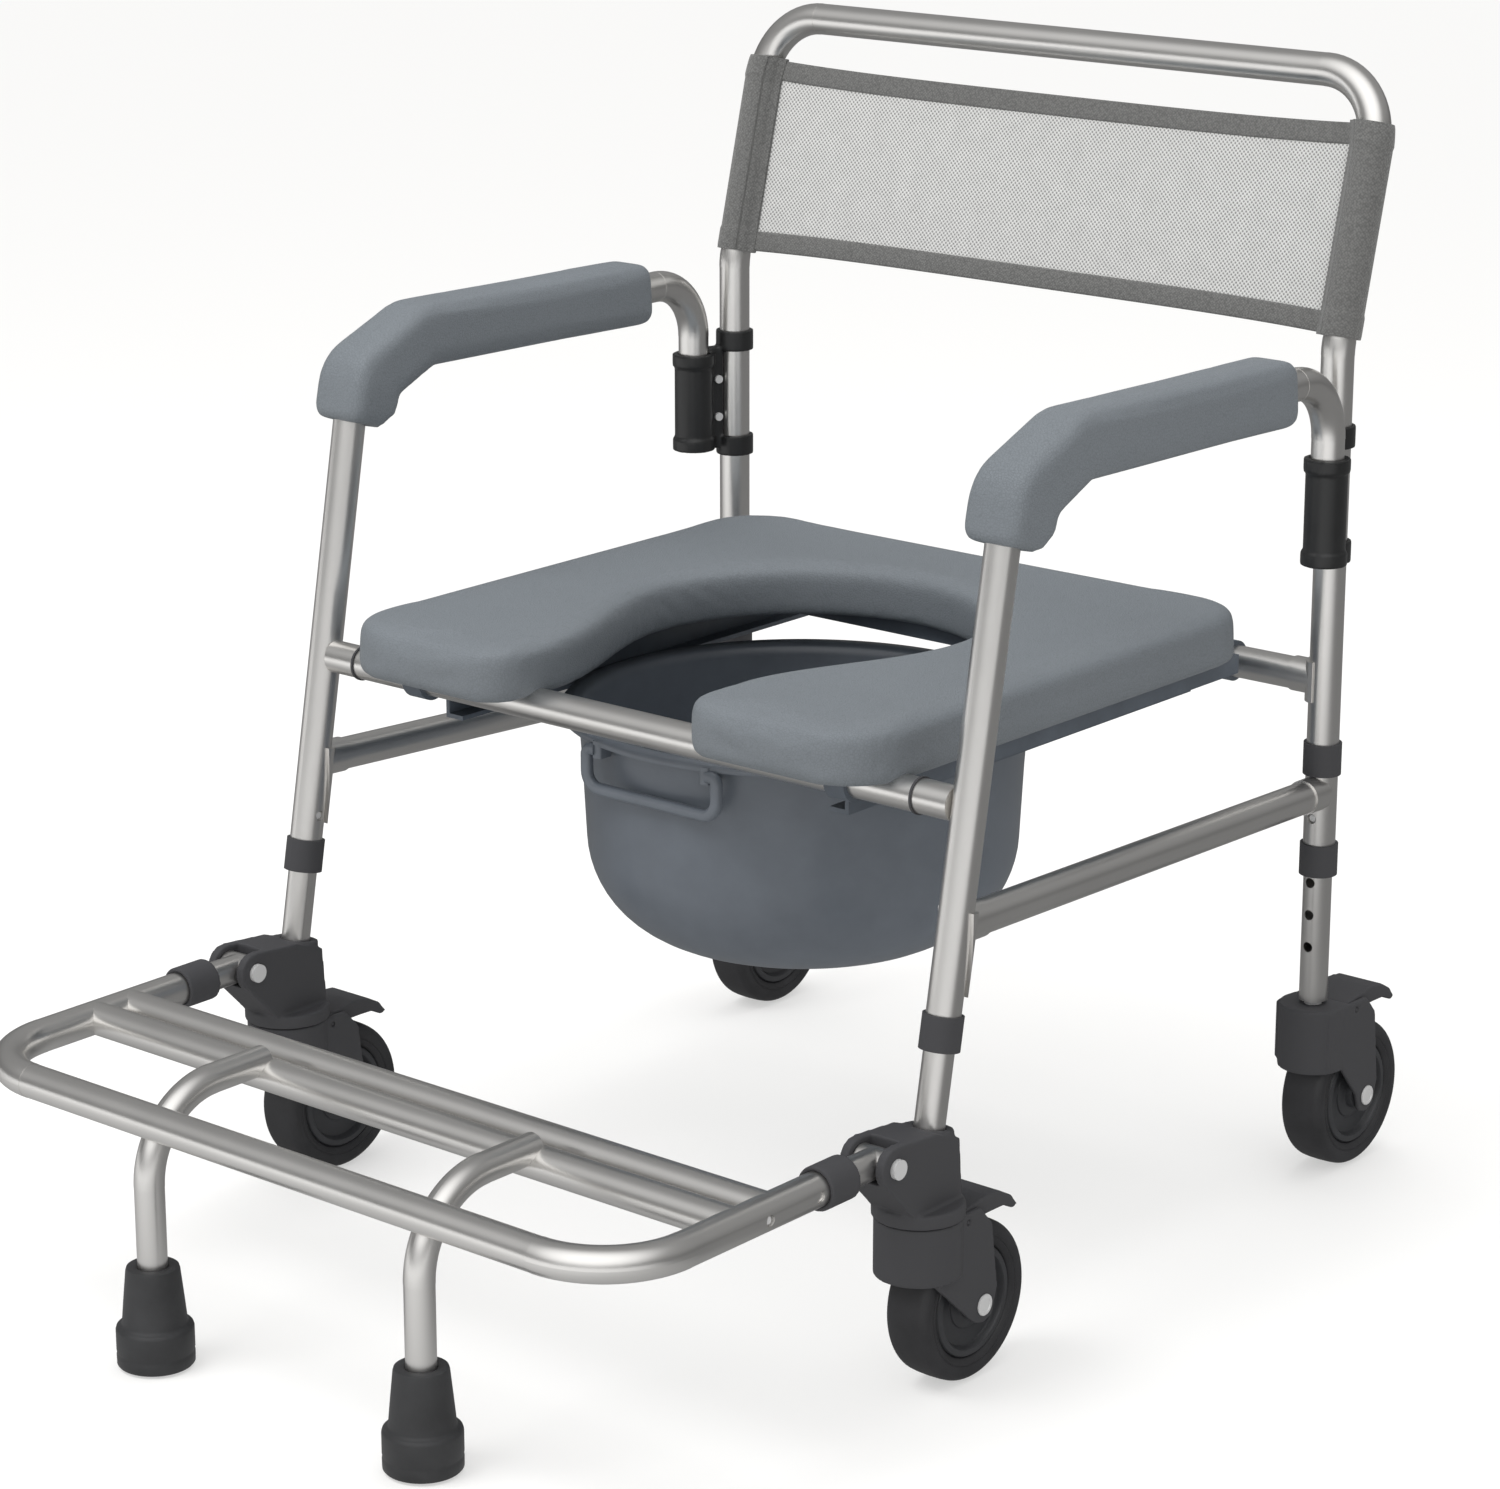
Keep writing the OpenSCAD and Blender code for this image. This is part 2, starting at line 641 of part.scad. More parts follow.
module rubber_feet() color(RUBBER) for (s = [-1, 1]) translate([s * foot_half, foot_y, 0])
    difference() {
        union() {
            cylinder(h = foot_band_h, d = foot_base_d);
            translate([0, 0, foot_band_h]) cylinder(h = 3, d1 = foot_base_d, d2 = foot_cuff_d + 8);
            translate([0, 0, foot_band_h]) cylinder(h = foot_h - foot_band_h, d1 = foot_cuff_d + 8, d2 = foot_cuff_d);
        }
        translate([0, 0, 14]) cylinder(h = 100, d = foot_leg_d);
    }

// A snap button, shown pushed in, with its head along +Z and flush with the tube
module snap_button() color(STEEL) {
    translate([0, 0, 4]) cylinder(h = 4.2, d = hole_d - 2 * slide_gap);
    translate([0, 0, 8.2]) cylinder(h = 1.2, d1 = hole_d - 2 * slide_gap, d2 = 4.5);
    translate([0, 0, 2.5]) cylinder(h = 1.5, d = 9.5);
}

module footrest_button(side) translate([side * front_half, button_y, footrest_z])
    rotate([0, side * 90, 0]) snap_button();

module front_button(side) translate(leg_at(side, front_button_z))
    rotate([0, -side * 90, 0]) snap_button();

module rear_button(side) translate([side * rear_half, up_y, rear_button_z])
    rotate([90, 0, 0]) snap_button();

// --------------------------------------------------------------- rear legs

module rear_leg(side) color(ALUMINIUM) difference() {
    translate([side * rear_half, up_y, rear_leg_z])
        linear_extrude(upper_collar_z + 62 - rear_leg_z) tube_section(ext_d);
    for (k = [-1:4]) translate([side * rear_half, up_y, rear_button_z - k * hole_pitch])
        rotate([90, 0, 0]) translate([0, 0, 4]) cylinder(h = 12, d = hole_d);
}

module rear_stem(side) color(STEEL) translate([side * rear_half, up_y, 0]) {
    translate([0, 0, rear_fork_z - 21]) cylinder(h = 26, d = stem_d);
    translate([0, 0, rear_leg_z]) cylinder(h = 20, d = ext_d - 2 * tube_wall);
}

// ----------------------------------------------------------------- casters

// Each caster is [side, y of the swivel axis, height of the fork's top, head diameter,
// where the cheeks' lower edge starts, how far over the axle it ends]
function rear_caster(side) = [side * rear_half, up_y, rear_fork_z, 46, 5, 3];
function front_caster(side) = [side * front_half, swivel_y, front_fork_z, 55, -12, -7];

module on_axle(c) translate([c[0], c[1] + caster_trail, wheel_r]) rotate([0, 90, 0]) children();

fork_t = 4;
fork_half = wheel_w / 2 + 2 + fork_t;
pedal_pivot_y = 22;
pedal_drop = 7;

module fork(c) color(BLACK) difference() {
    union() {
        translate([c[0], c[1], 80]) cylinder(h = c[2] - 80, d = c[3]);
        translate([c[0] - fork_half, c[1], 0]) rotate([90, 0, 90]) linear_extrude(2 * fork_half)
            polygon([[-12, 84], [-12, c[2] - 1], [34, c[2] - 1], [46, c[2] - 14],
                     [caster_trail + 14, wheel_r + 8], [caster_trail + 9, wheel_r - 9],
                     [caster_trail, wheel_r - 12.5], [caster_trail - 8, wheel_r - 10],
                     [caster_trail - 12, wheel_r + c[5]], [c[4], 80.5]]);
    }
    on_axle(c) cylinder(h = wheel_w + 4, r = wheel_r + 3, center = true);
    translate([c[0], c[1], 0]) cylinder(h = 200, d = stem_d + 2 * slide_gap);
    on_axle(c) cylinder(h = 60, d = bolt_d, center = true);
    translate([c[0] - fork_half + fork_t, c[1] + 13, 80]) cube([2 * (fork_half - fork_t), 80, 80]);
    cross_pin([c[0], c[1] + pedal_pivot_y, c[2] - pedal_drop], 4.1, 60);
}

module tyre(c) color(RUBBER) on_axle(c) rotate_extrude() difference() {
    translate([36 + (wheel_r - 36) / 2, 0])
        polygon(rounded_box(wheel_r - 36, wheel_w, 6));
    square([72, wheel_w + 2], center = true);
}

module hub(c) color(BLACK) on_axle(c) difference() {
    union() {
        cylinder(h = wheel_w - 10, r = 36, center = true);
        cylinder(h = wheel_w + 2, r = 12, center = true);
    }
    cylinder(h = 60, d = bolt_d + 2 * slide_gap, center = true);
    for (m = [0, 1]) mirror([0, 0, m]) translate([0, 0, 5])
        ring(20, 60, 30);
}

module axle(c) color(STEEL) on_axle(c) {
    cylinder(h = 2 * fork_half, d = bolt_d, center = true);
    for (m = [-1, 1]) translate([0, 0, m * (fork_half + 1.2)]) cylinder(h = 2.4, d = 14, center = true);
}

module pedal(c) color(BLACK) translate([c[0], c[1], c[2]]) {
    translate([-(fork_half - fork_t - part_gap), 0, 0]) rotate([90, 0, 90])
        linear_extrude(2 * (fork_half - fork_t - part_gap))
            polygon([[15, -10], [15, -2], [30, 0], [46, 2.5], [60, 1], [71, -5],
                     [77, -12.5], [73, -14.5], [64, -10], [50, -9.5]]);
    cross_pin([0, pedal_pivot_y, -pedal_drop], 4, 2 * (fork_half - 0.5));
}

back_frame();
rear_crossbar();
front_crossbar();
side_frame(1);  // side_frame_left
side_frame(-1);  // side_frame_right
side_rail(1);  // side_rail_left
side_rail(-1);  // side_rail_right
arm_pad(1);  // arm_pad_left
arm_pad(-1);  // arm_pad_right
arm_sleeve(1);  // arm_sleeve_left
arm_sleeve(-1);  // arm_sleeve_right
tube_collars();
frame_screws();
back_mesh();
back_border();
seat_carrier();
seat_board();
seat_pad();
bucket();
bucket_handle();
front_legs();
knuckle(1);  // knuckle_left
knuckle(-1);  // knuckle_right
knuckle_pins();
footrest_stubs();
footrest_loop();
footrest_cross_tubes();
footrest_legs();
footrest_collars();
rubber_feet();
footrest_button(1);  // footrest_button_left
footrest_button(-1);  // footrest_button_right
rear_leg(1);  // rear_leg_left
rear_leg(-1);  // rear_leg_right
rear_stem(1);  // rear_stem_left
rear_stem(-1);  // rear_stem_right
rear_button(1);  // rear_button_left
rear_button(-1);  // rear_button_right
front_button(1);  // front_button_left
front_button(-1);  // front_button_right
fork(rear_caster(1));  // rear_left_fork
tyre(rear_caster(1));  // rear_left_tyre
hub(rear_caster(1));  // rear_left_hub
axle(rear_caster(1));  // rear_left_axle
pedal(rear_caster(1));  // rear_left_pedal
fork(rear_caster(-1));  // rear_right_fork
tyre(rear_caster(-1));  // rear_right_tyre
hub(rear_caster(-1));  // rear_right_hub
axle(rear_caster(-1));  // rear_right_axle
pedal(rear_caster(-1));  // rear_right_pedal
fork(front_caster(1));  // front_left_fork
tyre(front_caster(1));  // front_left_tyre
hub(front_caster(1));  // front_left_hub
axle(front_caster(1));  // front_left_axle
pedal(front_caster(1));  // front_left_pedal
fork(front_caster(-1));  // front_right_fork
tyre(front_caster(-1));  // front_right_tyre
hub(front_caster(-1));  // front_right_hub
axle(front_caster(-1));  // front_right_axle
pedal(front_caster(-1));  // front_right_pedal
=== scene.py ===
"""Looks of a wheeled commode chair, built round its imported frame.

Units are metres. +Z is up, the sitter faces -Y and +X is the sitter's left.
"""

import json
import logging
import math
from dataclasses import dataclass, field
from enum import Enum

import bmesh
import bpy
import numpy as np
from mathutils import Matrix, Vector


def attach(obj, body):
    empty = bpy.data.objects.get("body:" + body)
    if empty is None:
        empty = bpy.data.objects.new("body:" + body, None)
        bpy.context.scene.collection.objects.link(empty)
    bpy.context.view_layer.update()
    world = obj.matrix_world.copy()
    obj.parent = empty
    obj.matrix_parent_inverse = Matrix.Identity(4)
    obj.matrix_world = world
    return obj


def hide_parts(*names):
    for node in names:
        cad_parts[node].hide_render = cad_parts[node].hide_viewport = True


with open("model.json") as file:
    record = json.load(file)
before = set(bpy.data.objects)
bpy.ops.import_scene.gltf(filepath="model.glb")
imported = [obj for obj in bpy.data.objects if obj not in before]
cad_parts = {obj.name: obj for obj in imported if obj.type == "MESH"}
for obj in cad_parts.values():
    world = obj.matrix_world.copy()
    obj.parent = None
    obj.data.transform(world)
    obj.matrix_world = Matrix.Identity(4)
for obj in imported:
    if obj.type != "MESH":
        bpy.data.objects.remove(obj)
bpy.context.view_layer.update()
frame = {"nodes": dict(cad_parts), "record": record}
LOG = logging.getLogger("commode_chair")

UPRIGHT_Y = 0.33225
FRONT_HALF = 0.274
REAR_HALF = 0.260
LEG_LEAN = 0.184
BAR_Y = UPRIGHT_Y - 0.413
BAR_Z = 0.366
LEAN_Z = 0.582
BACK_LEAN = 0.256
MILLIMETRE = 0.001


class Side(Enum):
    """The two sides of the chair, as the sign of X."""

    LEFT = 1
    RIGHT = -1

    @property
    def word(self) -> str:
        """The side's name as it stands in node names."""
        return self.name.lower()


class End(Enum):
    """The chair's two ends."""

    REAR = "rear"
    FRONT = "front"


class Axis(Enum):
    """Axis that a turned piece is turned about."""

    X = "x"
    Z = "z"


# ------------------------------------------------------------------ finishes


class Graph:
    """A small builder for one node material."""

    def __init__(self, name: str) -> None:
        """Starts a material with its shader.

        Args:
            name: the material's name.
        """
        self.material = bpy.data.materials.new(name)
        self.material.use_nodes = True
        self.tree = self.material.node_tree
        self.shader = self.tree.nodes["Principled BSDF"]
        self.coordinates = self.tree.nodes.new("ShaderNodeTexCoord")

    def add(self, kind: str, values: dict | None = None, **settings) -> bpy.types.Node:
        """Adds a node.

        Args:
            kind: the node's type name.
            values: input name or number to a fixed value.
            settings: the node's own properties.

        Returns:
            The new node.
        """
        node = self.tree.nodes.new(kind)
        for key, value in settings.items():
            setattr(node, key, value)
        for key, value in (values or {}).items():
            node.inputs[key].default_value = value
        return node

    def link(self, source: bpy.types.NodeSocket, target: bpy.types.NodeSocket) -> None:
        """Joins two sockets."""
        self.tree.links.new(source, target)

    def noise(self, scale: float, detail: float, stretch: tuple = (1, 1, 1), coordinates: str = "Object"):
        """Noise on the piece's own coordinates.

        Args:
            scale: cells per metre.
            detail: octaves.
            stretch: scale along each axis.
            coordinates: the output of Texture Coordinate to read.

        Returns:
            The noise's grey output.
        """
        mapping = self.add("ShaderNodeMapping", {"Scale": stretch})
        self.link(self.coordinates.outputs[coordinates], mapping.inputs["Vector"])
        node = self.add("ShaderNodeTexNoise", {"Scale": scale, "Detail": detail, "Roughness": 0.6})
        self.link(mapping.outputs["Vector"], node.inputs["Vector"])
        return node.outputs["Fac"]

    def cells(self, scale: float, feature: str, randomness: float, turn: float = 0.0, coordinates: str = "Object"):
        """Voronoi cells on the piece's own coordinates.

        Args:
            scale: cells per metre.
            feature: F1, SMOOTH_F1 or DISTANCE_TO_EDGE.
            randomness: 0 for a regular grid, 1 for irregular cells.
            turn: turn of the grid about Z, in radians.
            coordinates: the output of Texture Coordinate to read.

        Returns:
            The distance output.
        """
        mapping = self.add("ShaderNodeMapping", {"Rotation": (0, 0, turn)})
        self.link(self.coordinates.outputs[coordinates], mapping.inputs["Vector"])
        node = self.add("ShaderNodeTexVoronoi", {"Scale": scale, "Randomness": randomness}, feature=feature)
        self.link(mapping.outputs["Vector"], node.inputs["Vector"])
        return node.outputs["Distance"]

    def ramp(self, source, low: tuple, high: tuple, low_at: float = 0.0, high_at: float = 1.0):
        """Maps a grey value to a colour between two.

        Args:
            source: the grey output.
            low: colour at and under low_at.
            high: colour at and over high_at.
            low_at: grey value of the first colour.
            high_at: grey value of the second colour.

        Returns:
            The colour output.
        """
        node = self.add("ShaderNodeValToRGB")
        node.color_ramp.elements[0].position = low_at
        node.color_ramp.elements[1].position = high_at
        node.color_ramp.elements[0].color = (*low, 1)
        node.color_ramp.elements[1].color = (*high, 1)
        self.link(source, node.inputs["Fac"])
        return node.outputs["Color"]

    def span(self, source, low: float, high: float):
        """Maps a grey value from 0..1 to low..high and returns the output."""
        node = self.add("ShaderNodeMapRange", {"To Min": low, "To Max": high})
        self.link(source, node.inputs["Value"])
        return node.outputs["Result"]

    def bump(self, height, distance: float, strength: float = 1.0, below=None):
        """Raises the surface by a grey value.

        Args:
            height: the grey output.
            distance: height of white over black, in metres.
            strength: share of the effect.
            below: the normal of a bump underneath.

        Returns:
            The normal output.
        """
        node = self.add("ShaderNodeBump", {"Distance": distance, "Strength": strength})
        self.link(height, node.inputs["Height"])
        if below is not None:
            self.link(below, node.inputs["Normal"])
        return node.outputs["Normal"]

    def set(self, **values) -> None:
        """Sets the shader's own sockets; an underscore stands for a space."""
        for key, value in values.items():
            self.shader.inputs[key.replace("_", " ")].default_value = value


def tint(colour: tuple, share: float) -> tuple:
    """The colour times share."""
    return tuple(c * share for c in colour)


@dataclass(frozen=True)
class Finish:
    """A surface finish. Subclasses draw it as nodes."""

    name: str
    colour: tuple

    def draw(self, graph: Graph) -> None:
        """Adds this finish's nodes to the graph."""
        raise NotImplementedError

    def material(self) -> bpy.types.Material:
        """The finish as a material, made once."""
        found = bpy.data.materials.get(self.name)
        if found is None:
            graph = Graph(self.name)
            self.draw(graph)
            found = graph.material
        return found


@dataclass(frozen=True)
class SatinMetal(Finish):
    """Anodised or plated metal with a fine satin grain and a faintly uneven sheen."""

    roughness: float = 0.3
    grain: float = 1800.0
    grain_height: float = 0.000002
    metallic: float = 1.0

    def draw(self, graph: Graph) -> None:
        """Cloudy colour and roughness over a fine grain."""
        cloud = graph.noise(9.0, 2.0)
        colour = graph.ramp(cloud, tint(self.colour, 0.95), self.colour, 0.3, 0.7)
        graph.link(colour, graph.shader.inputs["Base Color"])
        sheen = graph.span(graph.noise(30.0, 3.0), self.roughness - 0.03, self.roughness + 0.04)
        graph.link(sheen, graph.shader.inputs["Roughness"])
        graph.link(graph.bump(graph.noise(self.grain, 2.0), self.grain_height), graph.shader.inputs["Normal"])
        graph.set(Metallic=self.metallic)


@dataclass(frozen=True)
class Moulded(Finish):
    """Moulded plastic or rubber with a fine spark-eroded grain and paler scuffs."""

    roughness: float = 0.5
    grain: float = 1500.0
    grain_height: float = 0.00003
    scuff: float = 1.25
    coat: float = 0.0

    def draw(self, graph: Graph) -> None:
        """Scuffed colour, uneven roughness and grain."""
        cloud = graph.noise(35.0, 5.0)
        graph.link(
            graph.ramp(cloud, tint(self.colour, 0.9), tint(self.colour, self.scuff), 0.3, 0.8),
            graph.shader.inputs["Base Color"],
        )
        graph.link(graph.span(cloud, self.roughness - 0.06, self.roughness + 0.08), graph.shader.inputs["Roughness"])
        graph.link(graph.bump(graph.noise(self.grain, 2.0), self.grain_height), graph.shader.inputs["Normal"])
        if self.coat:
            graph.set(Coat_Weight=self.coat, Coat_Roughness=0.25)


@dataclass(frozen=True)
class GrainedSkin(Finish):
    """The skin of moulded foam: a leather grain of small cells over soft unevenness."""

    roughness: float = 0.47
    cell: float = 520.0
    depth: float = 0.00016

    def draw(self, graph: Graph) -> None:
        """Cell edges pressed in, with painted shade darkening them, over slow waves."""
        edges = graph.cells(self.cell, "DISTANCE_TO_EDGE", 1.0)
        # painted shade: the pressed-in cell edges are coloured darker, down to 0.82 of the skin's colour
        painted_edge_shade = graph.ramp(edges, tint(self.colour, 0.82), self.colour, 0.0, 0.12)
        cloud = graph.noise(9.0, 3.0)
        mix = graph.add("ShaderNodeMix", {"Factor": 0.25}, data_type="RGBA", blend_type="MULTIPLY")
        graph.link(painted_edge_shade, mix.inputs["A"])
        graph.link(graph.ramp(cloud, (0.8, 0.8, 0.8), (1.0, 1.0, 1.0), 0.3, 0.7), mix.inputs["B"])
        graph.link(mix.outputs["Result"], graph.shader.inputs["Base Color"])
        graph.link(graph.span(edges, self.roughness + 0.1, self.roughness), graph.shader.inputs["Roughness"])
        waves = graph.bump(graph.noise(45.0, 3.0), 0.0006, 0.5)
        pressed = graph.add("ShaderNodeMapRange", {"From Max": 0.16})
        graph.link(edges, pressed.inputs["Value"])
        graph.link(graph.bump(pressed.outputs["Result"], self.depth, 0.8, waves), graph.shader.inputs["Normal"])


@dataclass(frozen=True)
class MeshCloth(Finish):
    """Open mesh: a diagonal net of pale threads round small holes, on the piece's UV map in metres."""

    thread: float = 430.0

    def draw(self, graph: Graph) -> None:
        """Distance to the centre of each hole gives colour, height and see-through; the darker colour in and round
        the sunken holes is painted shade.
        """
        holes = graph.cells(self.thread, "F1", 0.0, math.pi / 4, "UV")
        cloud = graph.noise(70.0, 3.0, coordinates="UV")
        # painted shade: the colour falls to half towards the centres of the holes, which are sunken and partly
        # see-through
        colour = graph.ramp(holes, tint(self.colour, 0.5), self.colour, 0.22, 0.5)
        mix = graph.add("ShaderNodeMix", {"Factor": 0.3}, data_type="RGBA", blend_type="MULTIPLY")
        graph.link(colour, mix.inputs["A"])
        graph.link(graph.ramp(cloud, (0.75, 0.75, 0.75), (1.0, 1.0, 1.0), 0.3, 0.7), mix.inputs["B"])
        graph.link(mix.outputs["Result"], graph.shader.inputs["Base Color"])
        alpha = graph.add("ShaderNodeMapRange", {"From Min": 0.18, "From Max": 0.26, "To Min": 0.55, "To Max": 1.0})
        graph.link(holes, alpha.inputs["Value"])
        graph.link(alpha.outputs["Result"], graph.shader.inputs["Alpha"])
        graph.link(graph.bump(holes, 0.0008), graph.shader.inputs["Normal"])
        graph.set(Roughness=0.7, Sheen_Weight=0.2)


@dataclass(frozen=True)
class WovenBand(Finish):
    """A close woven band with a pebbled face, on the piece's UV map in metres."""

    cell: float = 620.0

    def draw(self, graph: Graph) -> None:
        """Pebbles of uneven size, with painted shade darkening the sunken gaps between them."""
        pebbles = graph.cells(self.cell, "F1", 0.55, math.pi / 4, "UV")
        # painted shade: the colour falls to 0.6 towards the gaps between pebbles, where the bump sinks
        colour = graph.ramp(pebbles, self.colour, tint(self.colour, 0.6), 0.25, 0.75)
        graph.link(colour, graph.shader.inputs["Base Color"])
        lift = graph.add("ShaderNodeMapRange", {"To Min": 1.0, "To Max": 0.0})
        graph.link(pebbles, lift.inputs["Value"])
        waves = graph.bump(graph.noise(60.0, 3.0, coordinates="UV"), 0.0008, 0.5)
        graph.link(graph.bump(lift.outputs["Result"], 0.0004, 1.0, waves), graph.shader.inputs["Normal"])
        graph.set(Roughness=0.75, Sheen_Weight=0.15)


ALUMINIUM = SatinMetal("satin_aluminium", (0.80, 0.787, 0.765), 0.3)
ZINC = SatinMetal("bright_zinc", (0.66, 0.66, 0.66), 0.3, 900.0, metallic=0.35)
PAD_SKIN = GrainedSkin("pad_skin", (0.153, 0.171, 0.188))
BOARD = Moulded("seat_board", (0.05, 0.056, 0.065), 0.6)
CARRIER = Moulded("seat_carrier", (0.075, 0.09, 0.11), 0.45)
BUCKET = Moulded("bucket_plastic", (0.112, 0.128, 0.15), 0.36, 700.0, 0.00002, 1.06, 0.15)
BLACK = Moulded("black_plastic", (0.031, 0.0315, 0.033), 0.4)
GRIP = Moulded("arm_grip_plastic", (0.013, 0.0135, 0.014), 0.34)
HUB = Moulded("wheel_hub", (0.03, 0.031, 0.034), 0.38)
TYRE = Moulded("tyre_rubber", (0.02, 0.02, 0.022), 0.5, 1100.0, 0.00004, 1.5)
RUBBER = Moulded("foot_rubber", (0.023, 0.0235, 0.025), 0.5, 900.0, 0.00005, 1.5)
MESH_CLOTH = MeshCloth("mesh_cloth", (0.62, 0.62, 0.61))
BAND = WovenBand("woven_band", (0.15, 0.15, 0.146))


# ------------------------------------------------------------------- shaping


def arc(centre: tuple, radius: float, start: float, end: float, count: int) -> np.ndarray:
    """Points of an arc: centre + radius times (cos a, sin a), with a even from start to end degrees."""
    a = np.radians(np.linspace(start, end, count))
    return np.stack([centre[0] + radius * np.cos(a), centre[1] + radius * np.sin(a)], 1)


def resampled(points: np.ndarray, step: float, closed: bool) -> np.ndarray:
    """The same line with points an even distance apart: linear interpolation along its length.

    Args:
        points: (n, k) points of the line.
        step: wanted distance.
        closed: whether the last point joins the first.

    Returns:
        The new points; a closed line doesn't repeat its first point.
    """
    line = np.vstack([points, points[:1]]) if closed else points
    length = np.concatenate([[0], np.cumsum(np.linalg.norm(np.diff(line, axis=0), axis=1))])
    count = max(4, int(round(length[-1] / step)))
    at = np.linspace(0, length[-1], count + 1)
    if closed:
        at = at[:-1]
    return np.stack([np.interp(at, length, line[:, k]) for k in range(line.shape[1])], 1)


def rounded_line(corners: list, radii: list, step: float) -> np.ndarray:
    """A polyline whose inner corners are rounded with arcs.

    Each arc is the circle of the given radius that touches both legs; its points are
    centre + radius times a direction turned evenly from one leg's side to the other's.

    Args:
        corners: points in 3-D.
        radii: one radius for each inner corner.
        step: distance between points.

    Returns:
        (n, 3) points along the line.
    """
    p = [np.array(c, float) for c in corners]
    out = [p[0][None]]
    for i, radius in enumerate(radii, 1):
        u, w = p[i] - p[i - 1], p[i + 1] - p[i]
        u, w = u / np.linalg.norm(u), w / np.linalg.norm(w)
        turn = math.acos(float(np.clip(u @ w, -1, 1)))
        back = radius * math.tan(turn / 2)
        inward = (w - u * (u @ w)) / max(np.linalg.norm(w - u * (u @ w)), 1e-9)
        a = np.linspace(0, turn, 12)[:, None]
        out.append(p[i] - u * back + inward * radius * (1 - np.cos(a)) + u * radius * np.sin(a))
    out.append(p[-1][None])
    return resampled(np.vstack(out), step, False)


def rounded_rectangle(width: float, height: float, radius: float, per_corner: int = 6) -> np.ndarray:
    """Closed outline of a rectangle with round corners, anticlockwise."""
    x, y = width / 2 - radius, height / 2 - radius
    return np.vstack(
        [
            arc((x * c, y * s), radius, t, t + 90, per_corner)
            for c, s, t in ((1, 1, 0), (-1, 1, 90), (-1, -1, 180), (1, -1, 270))
        ]
    )


def circle(radius: float, count: int = 24) -> np.ndarray:
    """Closed outline of a circle."""
    return arc((0, 0), radius, 0, 360 * (count - 1) / count, count)


def new_object(name: str, vertices: np.ndarray, faces: list, uv: np.ndarray | None = None) -> bpy.types.Object:
    """Puts a mesh in the scene.

    Args:
        name: the piece's name.
        vertices: (n, 3) points.
        faces: lists of point numbers.
        uv: (n, 2) flat position of each point, in metres.

    Returns:
        The new object, at the origin.
    """
    mesh = bpy.data.meshes.new(name)
    mesh.from_pydata(vertices.tolist(), [], faces)
    if uv is not None:
        layer = mesh.uv_layers.new(name="cloth")
        corner = np.zeros(len(mesh.loops), np.int32)
        mesh.loops.foreach_get("vertex_index", corner)
        layer.data.foreach_set("uv", uv[corner].astype(np.float32).ravel())
    obj = bpy.data.objects.new(name, mesh)
    bpy.context.scene.collection.objects.link(obj)
    return obj


def cleaned(obj: bpy.types.Object, sharp: float = 40.0, outward: bool = True) -> bpy.types.Object:
    """Merges doubled points, turns faces outwards and shades smooth with sharp edges kept.

    Args:
        obj: the piece.
        sharp: angle over which an edge stays sharp, in degrees.
        outward: whether to work the normals out again.

    Returns:
        The same object.
    """
    work = bmesh.new()
    work.from_mesh(obj.data)
    bmesh.ops.remove_doubles(work, verts=work.verts, dist=0.000002)
    bmesh.ops.dissolve_degenerate(work, edges=work.edges, dist=0.000001)
    if outward:
        bmesh.ops.recalc_face_normals(work, faces=work.faces)
    work.to_mesh(obj.data)
    work.free()
    obj.data.polygons.foreach_set("use_smooth", np.ones(len(obj.data.polygons), bool))
    obj.data.set_sharp_from_angle(angle=math.radians(sharp))
    return obj


def grid_faces(rows: int, columns: int, wrap: bool) -> np.ndarray:
    """Quads between neighbouring points of a grid, its columns joined round if wrap."""
    r = np.arange(rows - 1)[:, None]
    c = np.arange(columns if wrap else columns - 1)[None]
    d = (c + 1) % columns
    low, high = r * columns, (r + 1) * columns
    return np.stack([low + c, low + d, high + d, high + c], -1).reshape(-1, 4)


def tube_surface(name: str, rings: np.ndarray, sharp: float = 40.0, capped: bool = True) -> bpy.types.Object:
    """A closed surface through rings of points.

    Args:
        name: the piece's name.
        rings: (n, m, 3) points, each ring closed.
        sharp: angle over which an edge stays sharp, in degrees.
        capped: whether the first and last rings are filled.

    Returns:
        The new object. Its UV map runs along the rings and round them, in metres.
    """
    rows, columns = rings.shape[:2]
    faces = grid_faces(rows, columns, True).tolist()
    if capped:
        faces += [list(range(columns))[::-1], list(range((rows - 1) * columns, rows * columns))]
    along = np.concatenate([[0], np.cumsum(np.linalg.norm(np.diff(rings, axis=0), axis=2).mean(1))])
    step = np.linalg.norm(np.diff(np.concatenate([rings, rings[:, :1]], 1), axis=1), axis=2).mean(0)
    around = np.concatenate([[0], np.cumsum(step)])[:-1]
    uv = np.stack(np.meshgrid(around, along), -1).reshape(-1, 2)
    return cleaned(new_object(name, rings.reshape(-1, 3), faces, uv), sharp)


def turned(
    name: str, profile: list, centre: tuple, axis: Axis = Axis.Z, count: int = 64, sharp: float = 35.0
) -> bpy.types.Object:
    """A piece turned on a lathe: each profile point (r, h) becomes centre + r (cos a, sin a) + h along the axis.

    Args:
        name: the piece's name.
        profile: (r, h) points in millimetres. It starts and ends on the axis, or closes on itself.
        centre: point on the axis.
        axis: the axis's direction.
        count: points round the axis.
        sharp: angle over which an edge stays sharp, in degrees.

    Returns:
        The new object.
    """
    r, h = (np.array(profile, float) * MILLIMETRE).T
    a = np.linspace(0, 2 * math.pi, count, endpoint=False)
    x, y = np.outer(r, np.cos(a)), np.outer(r, np.sin(a))
    z = np.repeat(h[:, None], count, 1)
    rings = np.stack([x, y, z] if axis is Axis.Z else [z, x, y], -1) + np.array(centre)
    closed_loop = bool(np.allclose(profile[0], profile[-1]))
    return tube_surface(name, rings, sharp, capped=not closed_loop and r[0] > 1e-9)


